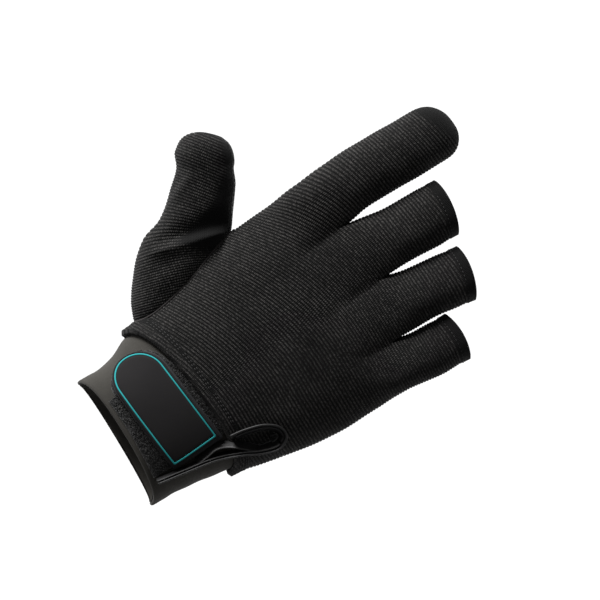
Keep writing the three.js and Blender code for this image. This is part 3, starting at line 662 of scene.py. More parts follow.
def leather_material(name, dark, light, roughness, grain, strength):
    made, tree, shader = material(name, dark, roughness, specular=0.22)
    cells = node(tree, "ShaderNodeTexVoronoi", {"feature": "F1"}, Vector=place(tree), Scale=grain)
    broad = noise(tree, 80, 4, 0.6)
    fine = noise(tree, grain * 1.6, 3)
    colour = ramp(tree, broad, [(0.25, dark), (0.8, light)])
    rough = maths(tree, "MULTIPLY_ADD", broad, 0.25, roughness - 0.1)
    height = maths(tree, "MULTIPLY_ADD", cells.outputs["Distance"], 0.7, maths(tree, "MULTIPLY", fine, 0.4))
    normal = bump(tree, broad, 0.3, 0.002, bump(tree, height, strength, 0.0002))
    fill(tree, shader, Base_Color=colour, Roughness=rough, Normal=normal)
    return made


def cloth_material(name, dark, light, roughness, scale, strength, distance, sheen=0.0, specular=0.2):
    made, tree, shader = material(name, dark, roughness, specular, sheen)
    fine = noise(tree, scale, 4, 0.6)
    broad = noise(tree, 50, 3)
    mixed = maths(tree, "MULTIPLY_ADD", fine, 0.55, maths(tree, "MULTIPLY", broad, 0.45))
    colour = ramp(tree, mixed, [(0.3, dark), (0.75, light)])
    rough = maths(tree, "MULTIPLY_ADD", fine, 0.2, roughness - 0.1)
    fill(tree, shader, Base_Color=colour, Roughness=rough, Normal=bump(tree, fine, strength, distance))
    return made


KNIT = knit_material()
LEATHER, TAB_LEATHER = [
    leather_material(*row) for row in (
        ("synthetic_leather", (0.0035, 0.0035, 0.0038), (0.011, 0.011, 0.0112), 0.58, 1100, 0.5),
        ("tab_leather", (0.005, 0.005, 0.0054), (0.012, 0.0115, 0.0115), 0.52, 1200, 0.2),
    )
]
NEOPRENE_TONES = (0.0155, 0.0146, 0.0127), (0.0327, 0.0305, 0.0267)
NEOPRENE = cloth_material("neoprene_jersey", *NEOPRENE_TONES, 0.9, 2600, 0.6, 0.00025, 0.05, 0.12)
PILE, STRAP, RUBBER, LINE, THREAD, CORD = [
    cloth_material(*row) for row in (
        ("loop_pile", (0.004, 0.004, 0.004), (0.02, 0.0195, 0.019), 0.95, 1800, 0.8, 0.0004, 0.2),
        ("strap_fabric", (0.006, 0.006, 0.007), (0.016, 0.016, 0.017), 0.75, 1800, 0.6, 0.0003),
        ("badge_rubber", (0.008, 0.0075, 0.0078), (0.013, 0.0122, 0.0126), 0.85, 3500, 0.3, 0.0001, 0, 0.06),
        ("badge_line", (0.012, 0.17, 0.18), (0.02, 0.23, 0.235), 0.7, 3000, 0.1, 0.0001, 0, 0.1),
        ("black_thread", (0.012, 0.012, 0.012), (0.045, 0.043, 0.042), 0.7, 4000, 0.6, 0.0001),
        ("seam_cord", (0.006, 0.0055, 0.0055), (0.03, 0.026, 0.026), 0.85, 2400, 0.7, 0.0003),
    )
]


# Coarse skins of the hand and the thumb, to tell what lies inside the other.
def grid_of(column_of, low, high, ts):
    """Points of a surface's half columns from low to high."""
    return np.stack([column_of(k)(ts) for k in np.arange(low, high + 0.01, 0.5)], axis=1)


def grid_faces(rows, columns, start=0):
    corners = start + np.arange(rows * columns).reshape(rows, columns)
    sides = [corners[:-1, :-1], corners[1:, :-1], corners[1:, 1:], corners[:-1, 1:]]
    return np.stack(sides, axis=-1).reshape(-1, 4).tolist()


def skin_tree(grids):
    points, faces = [], []
    for grid in grids:
        faces += grid_faces(*grid.shape[:2], len(points))
        points += grid.reshape(-1, 3).tolist()
    return BVHTree.FromPolygons(points, faces)


def depth_inside(tree, points):
    """How deep each point lies under a skin."""
    flat = points.reshape(-1, 3)
    depth = np.full(len(flat), -9.0)
    for n, p in enumerate(flat):
        near, normal, _, distance = tree.find_nearest(p, 30)
        if near is not None:
            depth[n] = distance if (Vector(p) - near).dot(normal) < 0 else -distance
    return depth.reshape(points.shape[:-1])


hand_grids = []
for i, finger in enumerate(fingers):
    sides = [(2, 6), (10, 14)] + [(6, 10)] * (i == 0) + [(-2, 2)] * (i == LAST)
    on_hand = np.linspace(0.25, 1, 40)
    on_finger = np.linspace(1, finger["end"], 24)
    hand_grids += [grid_of(partial(glove_column, i), low, high, on_hand) for low, high in sides]
    hand_grids.append(grid_of(partial(glove_column, i), 0, RING, on_finger))
hand_tree = skin_tree(hand_grids)
thumb_tree = skin_tree([grid_of(thumb_column, 0, RING, np.linspace(0, 1, 70))])


# The knit's ribs: where they run over the back of the hand and over the thumb
def rib_phase(points):
    x = np.minimum(points[..., 0], 16)
    climb = 0.2 * (x + 25) - 0.00625 * (x * x - 625)
    share = lerp(1, 0.3, smooth(points[..., 1], 95, 150))
    return (points[..., 1] - share * climb) / RIB_PITCH


def thumb_rib_phase(points):
    along, side = thumb_place(points)
    u, v = along * THUMB_LENGTH, side * THUMB_LENGTH
    lean = lerp(0.55, -0.15, smooth(u, 20, 62))
    return (u - lean * v) / THUMB_RIB_PITCH


def thumb_plain(points):
    """The side of the thumb towards the hand is smooth."""
    along, side = thumb_place(points)
    border = np.interp(along, THUMB_PLAIN_ALONG, THUMB_PLAIN_SIDE)
    return smooth(side - border, -0.012, 0.03) * smooth(along, 0.4, 0.47)


def undulation(points):
    """Slow waves of a cloth that lies loose."""
    x, y, z = points[..., 0], points[..., 1], points[..., 2]
    wave = np.sin(0.21 * x + 0.09 * y + 1.3) * np.sin(0.13 * y - 0.07 * x + 0.4)
    wave += 0.6 * np.sin(0.34 * x - 0.17 * y + 0.9) * np.sin(0.23 * y + 0.11 * z)
    return 0.16 * wave


def palm_creases(points):
    """Shallow folds of the leather where the palm and the fingers bend."""
    depth = np.zeros(points.shape[:-1])
    for *line, sag, reach, deep in PALM_CREASES:
        on, off = beside(points[..., 0], points[..., 1], *line)
        off = off + sag * 4 * on * (1 - on) + 0.5 * np.sin(9 * on + line[1])
        fade = smooth(on, -0.08, 0.12) * (1 - smooth(on, 0.88, 1.08))
        welt = 0.6 * np.exp(-(((off - 1.6 * reach) / reach) ** 2))
        depth += deep * fade * (welt - np.exp(-((off / reach) ** 2)))
    return depth


def rib_height(phase):
    return np.interp(phase % 1, np.linspace(0, 1, RIB_ROWS + 1), RIB_SHAPE)


def spaced(low, high, step):
    """Columns from low to high, closer together next to both borders."""
    near = np.array([0, 0.12, 0.26, 0.48])
    inside = np.arange(math.ceil((low + 0.6) / step) * step, high - 0.55, step)
    return np.concatenate([low + near, inside, high - near[::-1]])


def surface(column_of, ks, ts, top=None, apart=None):
    """Points and the ways out for columns ks at rows ts, an array of rows by columns."""
    inside = ts if top is None else np.minimum(ts, top - 0.002)
    points = [column_of(k)(ts[:, c]) for c, k in enumerate(ks)]
    normals = [facing(column_of, k, inside[:, c], 0.02, 0.002, apart) for c, k in enumerate(ks)]
    return np.stack(points, axis=1), np.stack(normals, axis=1)


def edge_roll(on, t, direction, wall, proud):
    """Rows that carry a turned edge round from the inside to the outside: shift along t and lift."""
    radius = (wall + proud) / 2
    tangent = unit(on(np.array([t + 0.002])) - on(np.array([t - 0.002])))[0]
    rows = []
    for n in range(1, EDGE_ROWS + 1):
        angle = n * math.pi / (EDGE_ROWS + 1)
        shift = tangent * direction * (radius * math.sin(angle) + 0.01 * n)
        rows.append((shift, (proud - wall) / 2 - radius * math.cos(angle)))
    return rows


HEM_LOW = hand_knots[0]
HEM_HIGH = HEM_LOW + WRIST_HEM_WIDTH / PALM_LENGTH
STEP = 0.35 / PALM_LENGTH
# Places along the glove that both fingers at a web use, 1 among them
DENSE = np.concatenate([np.linspace(HEM_HIGH + STEP, 1, 800), np.arange(1.001, 1.5, 0.001)])


def hem_lift(distance):
    """How far the wrist hem stands out at a distance from its edge."""
    ribs = 0.42 * rib_height(distance / 1.5) * (1 - smooth(distance, 4.4, 4.9))
    flare = 0.8 * np.exp(-((distance / 3.5) ** 2))
    return 0.3 + flare + ribs + 0.12 * smooth(distance, 4.4, 5.2) - 0.1 * smooth(distance, 6.2, 7)


def apart(i, k, beyond):
    """Whether the columns k and beyond of finger i start at different places."""
    return is_inner(i, beyond) and not is_inner(i, k)


def along_ribs(on, places, phase_of, levels):
    """Where a column reaches the levels of the ribs' phase."""
    phase = np.maximum.accumulate(phase_of(on(places)) + 1e-7 * np.arange(len(places)))
    return np.interp(levels, phase, places)


def glove_rows(i, ks, knit, levels, end, stop):
    """Places along each column: its turned edge, the wrist hem, the body, and the finger's end."""
    hem = np.linspace(HEM_LOW, HEM_HIGH, KNIT_HEM_ROWS if knit else LEATHER_HEM_ROWS)
    if fingers[i]["closed"]:
        finish = lerp(stop, end, TIP_SHARES)
    else:
        finish = np.linspace(end - FINGER_HEM_WIDTH / PALM_LENGTH, end, OPENING_ROWS)
    columns = []
    for k in ks:
        inside = is_inner(i, k)
        low = 1 if inside else HEM_HIGH + STEP
        if knit:
            dense = np.append(DENSE[(DENSE >= low - 1e-9) & (DENSE < stop)], stop)
            body = along_ribs(glove_column(i, k), dense, rib_phase, levels)
        else:
            body = np.clip(levels, low, stop)
            body[0] = low
            body[-1] = stop
        start = np.full(len(hem), low) if inside else hem
        edges = np.full(EDGE_ROWS, start[0]), np.full(EDGE_ROWS, finish[-1])
        columns.append(np.concatenate([edges[0], start, body, finish, edges[1]]))
    return np.stack(columns, axis=1), EDGE_ROWS + len(hem)


def seam_groove(ks, arc):
    """Distance of each column from the nearer seam, and the groove there."""
    seam = np.minimum(np.abs(ks - ks[0]), np.abs(ks[-1] - ks)) * arc
    return seam, -SEAM_DEPTH * np.exp(-((seam / 0.55) ** 2))[None, :]


def bow(points, finger, to_end):
    """Bows the opening of a finger outwards between rounded corners."""
    along = finger["length"] - to_end
    off = (points[..., 0] - finger["middle"] - finger["splay"] * along) / (finger["width"] / 2)
    near = 1 - smooth(to_end, 0, OPENING_REACH)
    points[..., 1] -= near * (1.7 * off**2 - 0.5)
    points[..., 0] -= near * finger["width"] * 0.03 * off


def glove_patch(i, ks, knit):
    finger = fingers[i]
    closed = finger["closed"]
    wall = KNIT_WALL if knit else LEATHER_WALL
    end = finger["end"]
    stop = end - (TIP_CUT / PALM_LENGTH if closed else FINGER_HEM_WIDTH / PALM_LENGTH + STEP)
    if knit:
        levels = np.arange(8 * RIB_ROWS, 136 * RIB_ROWS + 1) / RIB_ROWS
    else:
        levels = np.arange(HEM_HIGH + STEP, 1.47, 0.65 / PALM_LENGTH)
    ts, body_from = glove_rows(i, ks, knit, levels, end, stop)
    rows = len(ts)
    body_to = body_from + len(levels)
    inner = [is_inner(i, k) for k in ks]
    points, normals = surface(partial(glove_column, i), ks, ts, end if closed else None, partial(apart, i))
    phase = rib_phase(points)
    arc = math.pi * finger["width"] / RING
    seam, groove = seam_groove(ks, arc)
    groove = groove * np.ones((rows, 1))
    if closed:
        groove = groove * smooth(end - ts, 0, 3 / PALM_LENGTH)
    to_end = (end - ts) * PALM_LENGTH
    from_hem = (ts - HEM_LOW) * PALM_LENGTH
    plain = np.zeros(ts.shape)
    plain[:body_from] = smooth(from_hem[:body_from], 4.2, 4.8)
    if closed:
        lean = 0.35 * (points[..., 0] - finger["middle"])
        plain = np.maximum(plain, 1 - smooth(to_end + lean, 5, 8.5))
    else:
        plain = np.maximum(plain, 1 - smooth(to_end, 3.2, 4.2))
    if knit:
        settle = 1 - 0.5 * np.exp(-((seam / 0.8) ** 2))
        lift = RIB_HEIGHT * (rib_height(phase) - 0.5) * settle[None, :] * (1 - plain)
    else:
        inside = smooth(seam, 1.5, 4)[None, :]
        on_body = smooth((ts - HEM_HIGH) * PALM_LENGTH, 2, 8) * smooth(to_end, 5, 8)
        lift = palm_creases(points) * inside * on_body
        groove = groove - 0.12 * (seam < 0.3)[None, :]
    lift = lift + groove
    for c, k in enumerate(ks):
        on = glove_column(i, k)
        if not inner[c]:
            lift[EDGE_ROWS:body_from, c] = hem_lift(from_hem[EDGE_ROWS:body_from, c])
            lift[EDGE_ROWS:body_from, c] += groove[EDGE_ROWS:body_from, c]
            lift[body_from - 1, c] -= 0.15
            for n, (shift, out) in enumerate(edge_roll(on, HEM_LOW, -1, wall, EDGE_PROUD)):
                points[n, c] += shift
                lift[n, c] = out
        if not closed:
            last = slice(body_to, body_to + OPENING_ROWS)
            lift[last, c] = 0.4 - 0.25 * smooth(to_end[last, c], 3, 4) + groove[last, c]
            for n, (shift, out) in enumerate(edge_roll(on, end, 1, wall, EDGE_PROUD)):
                points[rows - 1 - n, c] += shift
                lift[rows - 1 - n, c] = out
    if knit:
        keep = [0, 2, 4, *range(8, body_from, 4), *range(body_from, body_to, RIB_ROWS)]
        after = (-1, 0, 2, 3, 4, 5, 7)
    else:
        keep = [0, 2, 4, *range(5, body_from), *range(body_from, body_to, 4)]
        after = (-1, 0, 1, 2, 3, 4, 5, 7)
    keep += [body_to + n for n in after if body_to + n < rows] + [rows - 1]
    # Rows before a web belong to the hand alone, so nothing joins them to a finger's side.
    drop = np.zeros((rows - 1, len(ks) - 1), bool)
    for c in range(len(ks) - 1):
        if inner[c] != inner[c + 1]:
            drop[:, c] = ts[1:, c + 1 if inner[c] else c] <= 1
    skip = False
    lift[EDGE_ROWS:] += undulation(points[EDGE_ROWS:]) * smooth(from_hem[EDGE_ROWS:], 5, 20)
    if i == 0:
        # A welt runs along the seam with the thumb, and what the thumb hides is left out.
        depth = depth_inside(thumb_tree, points)
        skip = (depth > 1.6) & (from_hem > 14)
        lift[EDGE_ROWS:] += 0.45 * np.exp(-(((depth[EDGE_ROWS:] + 0.9) / 0.6) ** 2))
    if not closed:
        bow(points, finger, to_end)
    share = (1 + np.clip(np.cos(ks / RING * 2 * math.pi) / DIAGONAL, -1, 1)) / 2
    over = lerp(webs[i][0], webs[i + 1][0], share)
    across = over + np.maximum(2 - ks, 0) * arc - np.maximum(ks - 6, 0) * arc
    return Patch(points, normals, lift, keep, across[None, :], phase, skip, drop, plain)


knit_patches, palm_patches = [], []
for i in range(len(fingers)):
    for found, low, high, step, knit in (
        (knit_patches, -1, 9, 1 / 3, True),
        (palm_patches, 9 - SEAM_OVERLAP, 15 + SEAM_OVERLAP, 1 / 7, False),
    ):
        # The columns where the back and the palm of the hand begin are among them.
        ks = np.concatenate([spaced(low, high, step), [2, 6] if knit else [10, 14]])
        found.append(glove_patch(i, np.unique(ks.round(6)), knit))

shell("glove_back_knit", knit_patches, KNIT_WALL, KNIT, ("back_panel",))
shell("glove_palm_leather", palm_patches, LEATHER_WALL, LEATHER, ("palm_panel",))


def thumb_patch(ks, knit):
    stop = 1 - TIP_CUT / THUMB_LENGTH
    levels = np.arange(-12 * RIB_ROWS, 78 * RIB_ROWS + 1) / RIB_ROWS if knit else np.linspace(0, stop, 64)
    columns = []
    for k in ks:
        body = levels
        if knit:
            body = along_ribs(thumb_column(k), np.linspace(0, stop, 600), thumb_rib_phase, levels)
        columns.append(np.concatenate([body, lerp(stop, 1, TIP_SHARES)]))
    ts = np.stack(columns, axis=1)
    points, normals = surface(thumb_column, ks, ts, 1)
    phase = thumb_rib_phase(points)
    arc = math.pi * THUMB_WIDTH / RING
    lift = seam_groove(ks, arc)[1] * smooth(1 - ts, 0, 3 / THUMB_LENGTH)
    plain = 0
    if knit:
        plain = np.maximum(thumb_plain(points), 1 - smooth((1 - ts) * THUMB_LENGTH, 0.6, 2))
        lift = lift + RIB_HEIGHT * 0.85 * (rib_height(phase) - 0.5) * (1 - plain) + 0.05 * plain
    keep = [*range(0, len(levels), RIB_ROWS if knit else 2), *range(len(levels) - 1, len(ts))]
    depth = depth_inside(hand_tree, points)
    lift = lift + undulation(points) - 0.3 * np.exp(-(((depth + 0.4) / 0.8) ** 2))
    across = (ks - ks[0])[None, :] * arc
    return Patch(points, normals, lift, keep, across, phase, depth > 1.8, plain=plain)


shell("thumb_knit", [thumb_patch(spaced(1, 9, 1 / 3), True)], KNIT_WALL, KNIT, ("thumb_back",))
thumb_leather = thumb_patch(spaced(9 - SEAM_OVERLAP, 17 + SEAM_OVERLAP, 1 / 3), False)
shell("thumb_leather", [thumb_leather], LEATHER_WALL, LEATHER, ("thumb_palm",))


# Cuff
CUFF_ROWS = 36
cuff_angles = np.linspace(0, 2 * math.pi, 145)


def cuff_patch():
    us = np.linspace(0, CUFF_END, CUFF_ROWS)
    rows = EDGE_ROWS + CUFF_ROWS
    points = np.zeros((rows, len(cuff_angles), 3))
    normals = np.zeros(points.shape)
    lift = np.zeros(points.shape[:2])
    for c, angle in enumerate(cuff_angles):
        angle = angle % (2 * math.pi)
        on = cuff_column(angle)
        points[:, c] = on(np.concatenate([np.zeros(EDGE_ROWS), us]))
        normals[:, c] = facing(cuff_column, angle, np.concatenate([np.zeros(EDGE_ROWS), us]))
        for n, (shift, out) in enumerate(edge_roll(on, 0, -1, NEOPRENE_WALL, 0.0)):
            points[n, c] += shift
            lift[n, c] = out
    x, y = points[EDGE_ROWS:, :, 0], points[EDGE_ROWS:, :, 1]
    from_edge = us[:, None] * PALM_LENGTH * 0.22
    lift[EDGE_ROWS:] = -0.12 * np.exp(-(((from_edge - 2.6) / 0.35) ** 2))
    lift[EDGE_ROWS:] += 0.12 * np.sin(y * 0.55 + 1.2 * np.sin(x * 0.12)) * smooth(from_edge, 3, 7)
    keep = [0, 2, *range(EDGE_ROWS, rows, 2), rows - 1]
    return Patch(points, normals, lift, keep, cuff_angles[None, :] * WRIST_WIDTH / 2)


shell("wrist_cuff_neoprene", [cuff_patch()], NEOPRENE_WALL, NEOPRENE, ("wrist_cuff",))


def run_of(path):
    """The way run along a path at each of its points."""
    return np.concatenate([[0], np.cumsum(np.linalg.norm(np.diff(path, axis=0), axis=1))])


def between(at, knots, points):
    """Points at places between those at rising knots."""
    return np.stack([np.interp(at, knots, points[:, n]) for n in range(3)], axis=-1)


# Places on the cuff: distance round the wrist from the middle of its back towards +X, and y
CELL = 0.25
cuff_distances = np.arange(-48, 48.01, CELL)
cuff_ys = np.arange(4, 46.01, CELL)


def cuff_map():
    angles = np.linspace(0.02, math.pi - 0.02, 180)
    columns = [cuff_column(a)(np.linspace(-0.02, 1.08, 220)) for a in angles]
    lines = np.stack([between(cuff_ys, column[:, 1], column) for column in columns], axis=1)
    made = np.zeros((len(cuff_ys), len(cuff_distances), 3))
    for j, line in enumerate(lines):
        run = run_of(line)
        distance = np.interp(math.pi / 2, angles, run) - run
        made[j] = between(cuff_distances, distance[::-1], line[::-1])
    made[:, :, 1] = cuff_ys[:, None]
    return made


cuff_grid = cuff_map()
along_y = np.gradient(cuff_grid, axis=0)
along_distance = np.gradient(cuff_grid, axis=1)
cuff_out = unit(np.cross(along_distance, along_y))


def on_cuff(distance, y, height):
    """Points at a height above the cuff."""
    a = np.clip((np.asarray(y, float) - cuff_ys[0]) / CELL, 0, len(cuff_ys) - 1.001)
    b = np.clip((np.asarray(distance, float) - cuff_distances[0]) / CELL, 0, len(cuff_distances) - 1.001)
    j, c = a.astype(int), b.astype(int)
    fj, fc = (a - j)[..., None], (b - c)[..., None]

    def mix(grid):
        low = grid[j, c] * (1 - fc) + grid[j, c + 1] * fc
        high = grid[j + 1, c] * (1 - fc) + grid[j + 1, c + 1] * fc
        return low * (1 - fj) + high * fj

    out = unit(mix(cuff_out))
    return mix(cuff_grid) + out * np.asarray(height, float)[..., None], out


# The badge, its strap and its line follow one tongue: square towards +X, round towards -X.
BADGE_LENGTH = 46.8
BADGE_WIDTH = 22.6
BADGE_FROM = 19.1
BADGE_ALONG = 26.4
BADGE_LEAN = 0.11
STRAP_MARGIN = 0.8
STRAP_ROOT = 1.8
BADGE_RADIUS = BADGE_WIDTH / 2
LINE_NEAR = 0.9  # the raised line lies between these distances from the badge's edge
LINE_FAR = 1.54
PILE_FROM = 20.3
PILE_BORDER = 1.9
PILE_ROWS = 64
PILE_LOOPS = 1900
PILE_TO = BADGE_FROM - BADGE_LENGTH - PILE_BORDER + 0.02


def tongue_loop(inset, root=0.0, corner=0.6, straight=30, arc=32, end=18):
    """Distances and ys along the tongue's outline, this far inside it."""
    radius = max(BADGE_RADIUS - inset, 1e-4)
    centre = BADGE_FROM - BADGE_LENGTH + BADGE_RADIUS
    start = max(BADGE_FROM + root - inset, centre + 1e-3)
    cut = min(corner, radius * 0.6)
    line = np.linspace(start - cut, centre, straight)
    turn = np.linspace(0, math.pi, arc)[1:-1]
    bend = np.linspace(0, math.pi / 2, 5)
    distance = np.concatenate([
        line,
        centre - radius * np.sin(turn),
        line[::-1],
        start - cut + cut * np.sin(bend[1:]),
        np.full(end - 1, start),
        start - cut + cut * np.cos(bend[1:-1]),
    ])
    half = np.concatenate([
        np.full(straight, -radius),
        -radius * np.cos(turn),
        np.full(straight, radius),
        radius - cut + cut * np.cos(bend[1:]),
        np.linspace(radius - cut, -radius + cut, end)[1:],
        -radius + cut - cut * np.sin(bend[1:-1]),
    ])
    return distance, BADGE_ALONG + BADGE_LEAN * distance + half


def ring_faces(rows, count):
    """Faces between closed rings of points."""
    faces = []
    for j in range(rows - 1):
        for c in range(count):
            a, b = j * count + c, j * count + (c + 1) % count
            faces.append((a, b, b + count, a + count))
    return faces


def capped_faces(rows, count):
    """The same with both ends closed."""
    ends = [tuple(range(count))[::-1], tuple((rows - 1) * count + c for c in range(count))]
    return ring_faces(rows, count) + ends


def pad(name, rings, look, nodes, root=0.0, wobble=0.0):
    """A closed pad on the cuff from rings (inset, height), from its underside round to its top."""
    loops = []
    rng = np.random.default_rng(7)
    for inset, height in rings:
        distance, y = tongue_loop(inset, root)
        heights = np.full(distance.shape, height, float)
        if wobble:
            heights += rng.normal(0, wobble, distance.shape)
            distance = distance + rng.normal(0, wobble, distance.shape)
        loops.append(on_cuff(distance, y, heights)[0])
    mesh = bpy.data.meshes.new(name)
    mesh.from_pydata((np.concatenate(loops) * MM).tolist(), [], ring_faces(len(loops), len(loops[0])))
    weld(mesh)
    piece(name, mesh, look, nodes)


def weld(mesh):
    """Joins the points that lie on each other, and turns the faces outwards."""
    made = bmesh.new()
    made.from_mesh(mesh)
    bmesh.ops.remove_doubles(made, verts=made.verts, dist=1e-5)
    bmesh.ops.dissolve_degenerate(made, dist=1e-6, edges=made.edges)
    bmesh.ops.recalc_face_normals(made, faces=made.faces)
    made.to_mesh(mesh)
    made.free()


strap_low = CLEARANCE + PILE_WALL - 0.1
strap_top = strap_low + STRAP_WALL + 0.25
badge_low = strap_top - 0.1
badge_top = CLEARANCE * 3 + PILE_WALL + STRAP_WALL + BADGE_WALL
inner_rings = [BADGE_RADIUS * share for share in (0.3, 0.5, 0.7, 0.85, 1)]
strap_rings = [(BADGE_RADIUS, strap_low), (6, strap_low), (2, strap_low)]
strap_rings += [
    (out - STRAP_MARGIN, height) for out, height in (
        (0.25, strap_low),
        (0, strap_low + 0.35),
        (-0.05, strap_low + 0.8),
        (0, strap_top - 0.4),
        (0.2, strap_top - 0.1),
        (0.5, strap_top),
    )
]
strap_rings += [(inset, strap_top) for inset in (1.5, *inner_rings)]
badge_rings = [(BADGE_RADIUS, badge_low), (3, badge_low), (0.15, badge_low), (0, badge_low + 0.2)]
badge_rings += [
    (inset, badge_top + up) for inset, up in (
        (0, -0.45),
        (0.1, -0.2),
        (0.25, -0.05),
        (0.5, 0),
        (0.7, 0),
        (0.82, -0.14),
        (1.62, -0.14),
        (1.8, -0.02),
        (2.6, 0.02),
        *[(inset, 0.02) for inset in inner_rings],
    )
]
line_rings = [
    (inset, badge_top + up) for inset, up in (
        (LINE_NEAR, -0.3),
        (LINE_NEAR, -0.05),
        (1, 0.08),
        (1.22, 0.12),
        (1.44, 0.08),
        (LINE_FAR, -0.05),
        (LINE_FAR, -0.3),
        (LINE_NEAR, -0.3),
    )
]
pad("hook_strap", strap_rings, STRAP, ("strap",), STRAP_ROOT - STRAP_MARGIN, 0.03)
pad("badge_panel", badge_rings, RUBBER, ("badge",))
pad("badge_outline", line_rings, LINE, ("badge_line",))


# Loop pile on the cuff: a carpet with small loops standing on it
def wrist_edges(distance):
    """Where the hem and the opening's edge lie at a distance round the wrist."""
    angle = math.pi / 2 - distance / (WRIST_WIDTH / 2)
    hem = skin_column(angle)(np.array(hand_knots[0]))
    return float(hem[1]), float(cuff_column(angle)(np.array(0.0))[1])


pile_d = np.linspace(PILE_TO, PILE_FROM, 120)
pile_round = np.maximum(BADGE_FROM - BADGE_LENGTH + BADGE_RADIUS - pile_d, 0)
pile_reach = np.sqrt(np.maximum((BADGE_RADIUS + PILE_BORDER) ** 2 - pile_round**2, 1.0))
pile_middle = BADGE_ALONG + BADGE_LEAN * pile_d
pile_high, pile_low = np.array([wrist_edges(d) for d in pile_d]).T + np.array([[1.2], [1.3]])
pile_low = np.where(pile_round > 0, np.maximum(pile_low, pile_middle - pile_reach), pile_low)
pile_high = np.where(pile_round > 0, np.minimum(pile_high, pile_middle + pile_reach), pile_high)


def pile_field():
    rng = np.random.default_rng(3)
    ys = lerp(pile_low[None, :], pile_high[None, :], np.linspace(0, 1, PILE_ROWS)[:, None])
    ds = np.repeat(pile_d[None, :], PILE_ROWS, axis=0)
    points, out = on_cuff(ds, ys, np.full(ds.shape, CLEARANCE + PILE_WALL))
    lift = rng.normal(0, 0.1, ds.shape) - 0.25
    to_edge = np.minimum(np.minimum(ys - pile_low, pile_high - ys), np.minimum(ds - PILE_TO, PILE_FROM - ds))
    lift -= 0.5 * (1 - smooth(to_edge, 0, 1.2))
    return Patch(points, out, lift, None, ds)


shell("pile_carpet", [pile_field()], PILE_WALL + 0.25, PILE, ("pile_field",))


def tube(path, radii, sides):
    """Points and faces of a closed tube along a path."""
    tangent = unit(np.gradient(path, axis=0))
    a = unit(np.cross(tangent, np.array([0.3, 0.2, 0.93])))
    b = np.cross(tangent, a)
    turn = (np.arange(sides) / sides * 2 * math.pi)[None, :, None]
    rings = path[:, None] + radii[:, None, None] * (a[:, None] * np.cos(turn) + b[:, None] * np.sin(turn))
    return rings.reshape(-1, 3), capped_faces(len(path), sides)


def gather(name, parts, look, nodes=()):
    """One mesh from many small closed forms."""
    points, faces, start = [], [], 0
    for p, f in parts:
        points.append(p)
        faces += [tuple(n + start for n in face) for face in f]
        start += len(p)
    mesh = bpy.data.meshes.new(name)
    mesh.from_pydata((np.concatenate(points) * MM).tolist(), [], faces)
    piece(name, mesh, look, nodes)


def pile_loops():
    rng = np.random.default_rng(11)
    parts = []
    while len(parts) < PILE_LOOPS:
        d = rng.uniform(PILE_TO + 0.4, PILE_FROM - 0.4)
        low = float(np.interp(d, pile_d, pile_low)) + 0.4
        high = float(np.interp(d, pile_d, pile_high)) - 0.4
        y = rng.uniform(low, high)
        off = y - BADGE_ALONG - BADGE_LEAN * d
        if abs(off) < BADGE_RADIUS - 1 and d > BADGE_FROM - BADGE_LENGTH + 6:
            continue
        turn = rng.uniform(0, math.pi)
        wide = rng.uniform(0.35, 0.6)
        tall = rng.uniform(0.35, 0.75)
        s = np.linspace(0, math.pi, 6)
        ds = d + wide * np.cos(s) * math.cos(turn)
        ys = y + wide * np.cos(s) * math.sin(turn)
        hs = CLEARANCE + PILE_WALL - 0.35 + tall * np.sin(s)
        path, _ = on_cuff(ds, ys, hs)
        parts.append(tube(path, np.full(6, rng.uniform(0.07, 0.11)), 4))
    return parts


gather("pile_loops", pile_loops(), PILE)


# Pull loop: folded leather standing on its edge
TAB_WIDTH = 8
TAB_UPRIGHT = 0.6
TAB_LEAN = 0.4
TAB_BEAD = 0.05
TAB_LIFT = 0.15
FOLD_LEAN = 0.5
# Its middle line: side as a share of half the wrist's width, along of PALM_LENGTH
TAB_ROUTE = [
    (0.71, 0.065),
    (0.77, 0.16),
    (0.84, 0.255),
    (0.96, 0.335),
    (1.08, 0.395),
    (1.14, 0.448),
    (1.06, 0.482),
    (0.91, 0.478),
    (0.79, 0.44),
    (0.72, 0.385),
    (0.69, 0.335),
]
# x and y of a fold of leather inside the loop
TAB_FOLD = [(24.1, 26.3), (23.4, 31.5), (22.9, 36.4), (25.1, 41.7), (29.4, 46.9), (32.8, 50.4), (34.6, 54)]
# Each layer's points, its place beside the middle line, its part of it, its wall and its share of TAB_WIDTH
TAB_LAYERS = [
    (90, 0.0, (0, 1), 0.7, 0.86),
    (70, 0.85, (0, 0.52), 0.6, 0.76),
    (60, 0.85, (0.54, 0.97), 0.6, 0.7),
    (40, 2.5, (0.47, 0.7), 0.6, 0.56),
    (30, 4.1, (0.5, 0.66), 0.6, 0.42),
]
ground_grids = []
for i in range(len(fingers)):
    grid = grid_of(partial(glove_column, i), 2 if i < LAST else -1, 6, np.linspace(HEM_LOW, 0.7, 40))
    grid[..., 2] += 0.55
    ground_grids.append(grid)
cuff_columns = [cuff_column(a)(np.linspace(0, 1.05, 40)) for a in np.linspace(-0.3, math.pi, 60)]
ground_tree = skin_tree(ground_grids + [np.stack(cuff_columns, axis=1)])


def ground(x, y):
    place, normal, _, _ = ground_tree.ray_cast(Vector((x, y, 60)), Vector((0, 0, -1)))
    return np.array(place), np.array(-normal if normal.z < 0 else normal)


def soften(values, times):
    """Evens out rows of values, apart from the first and the last."""
    for _ in range(times):
        values[1:-1] = (values[:-2] + 2 * values[1:-1] + values[2:]) / 4


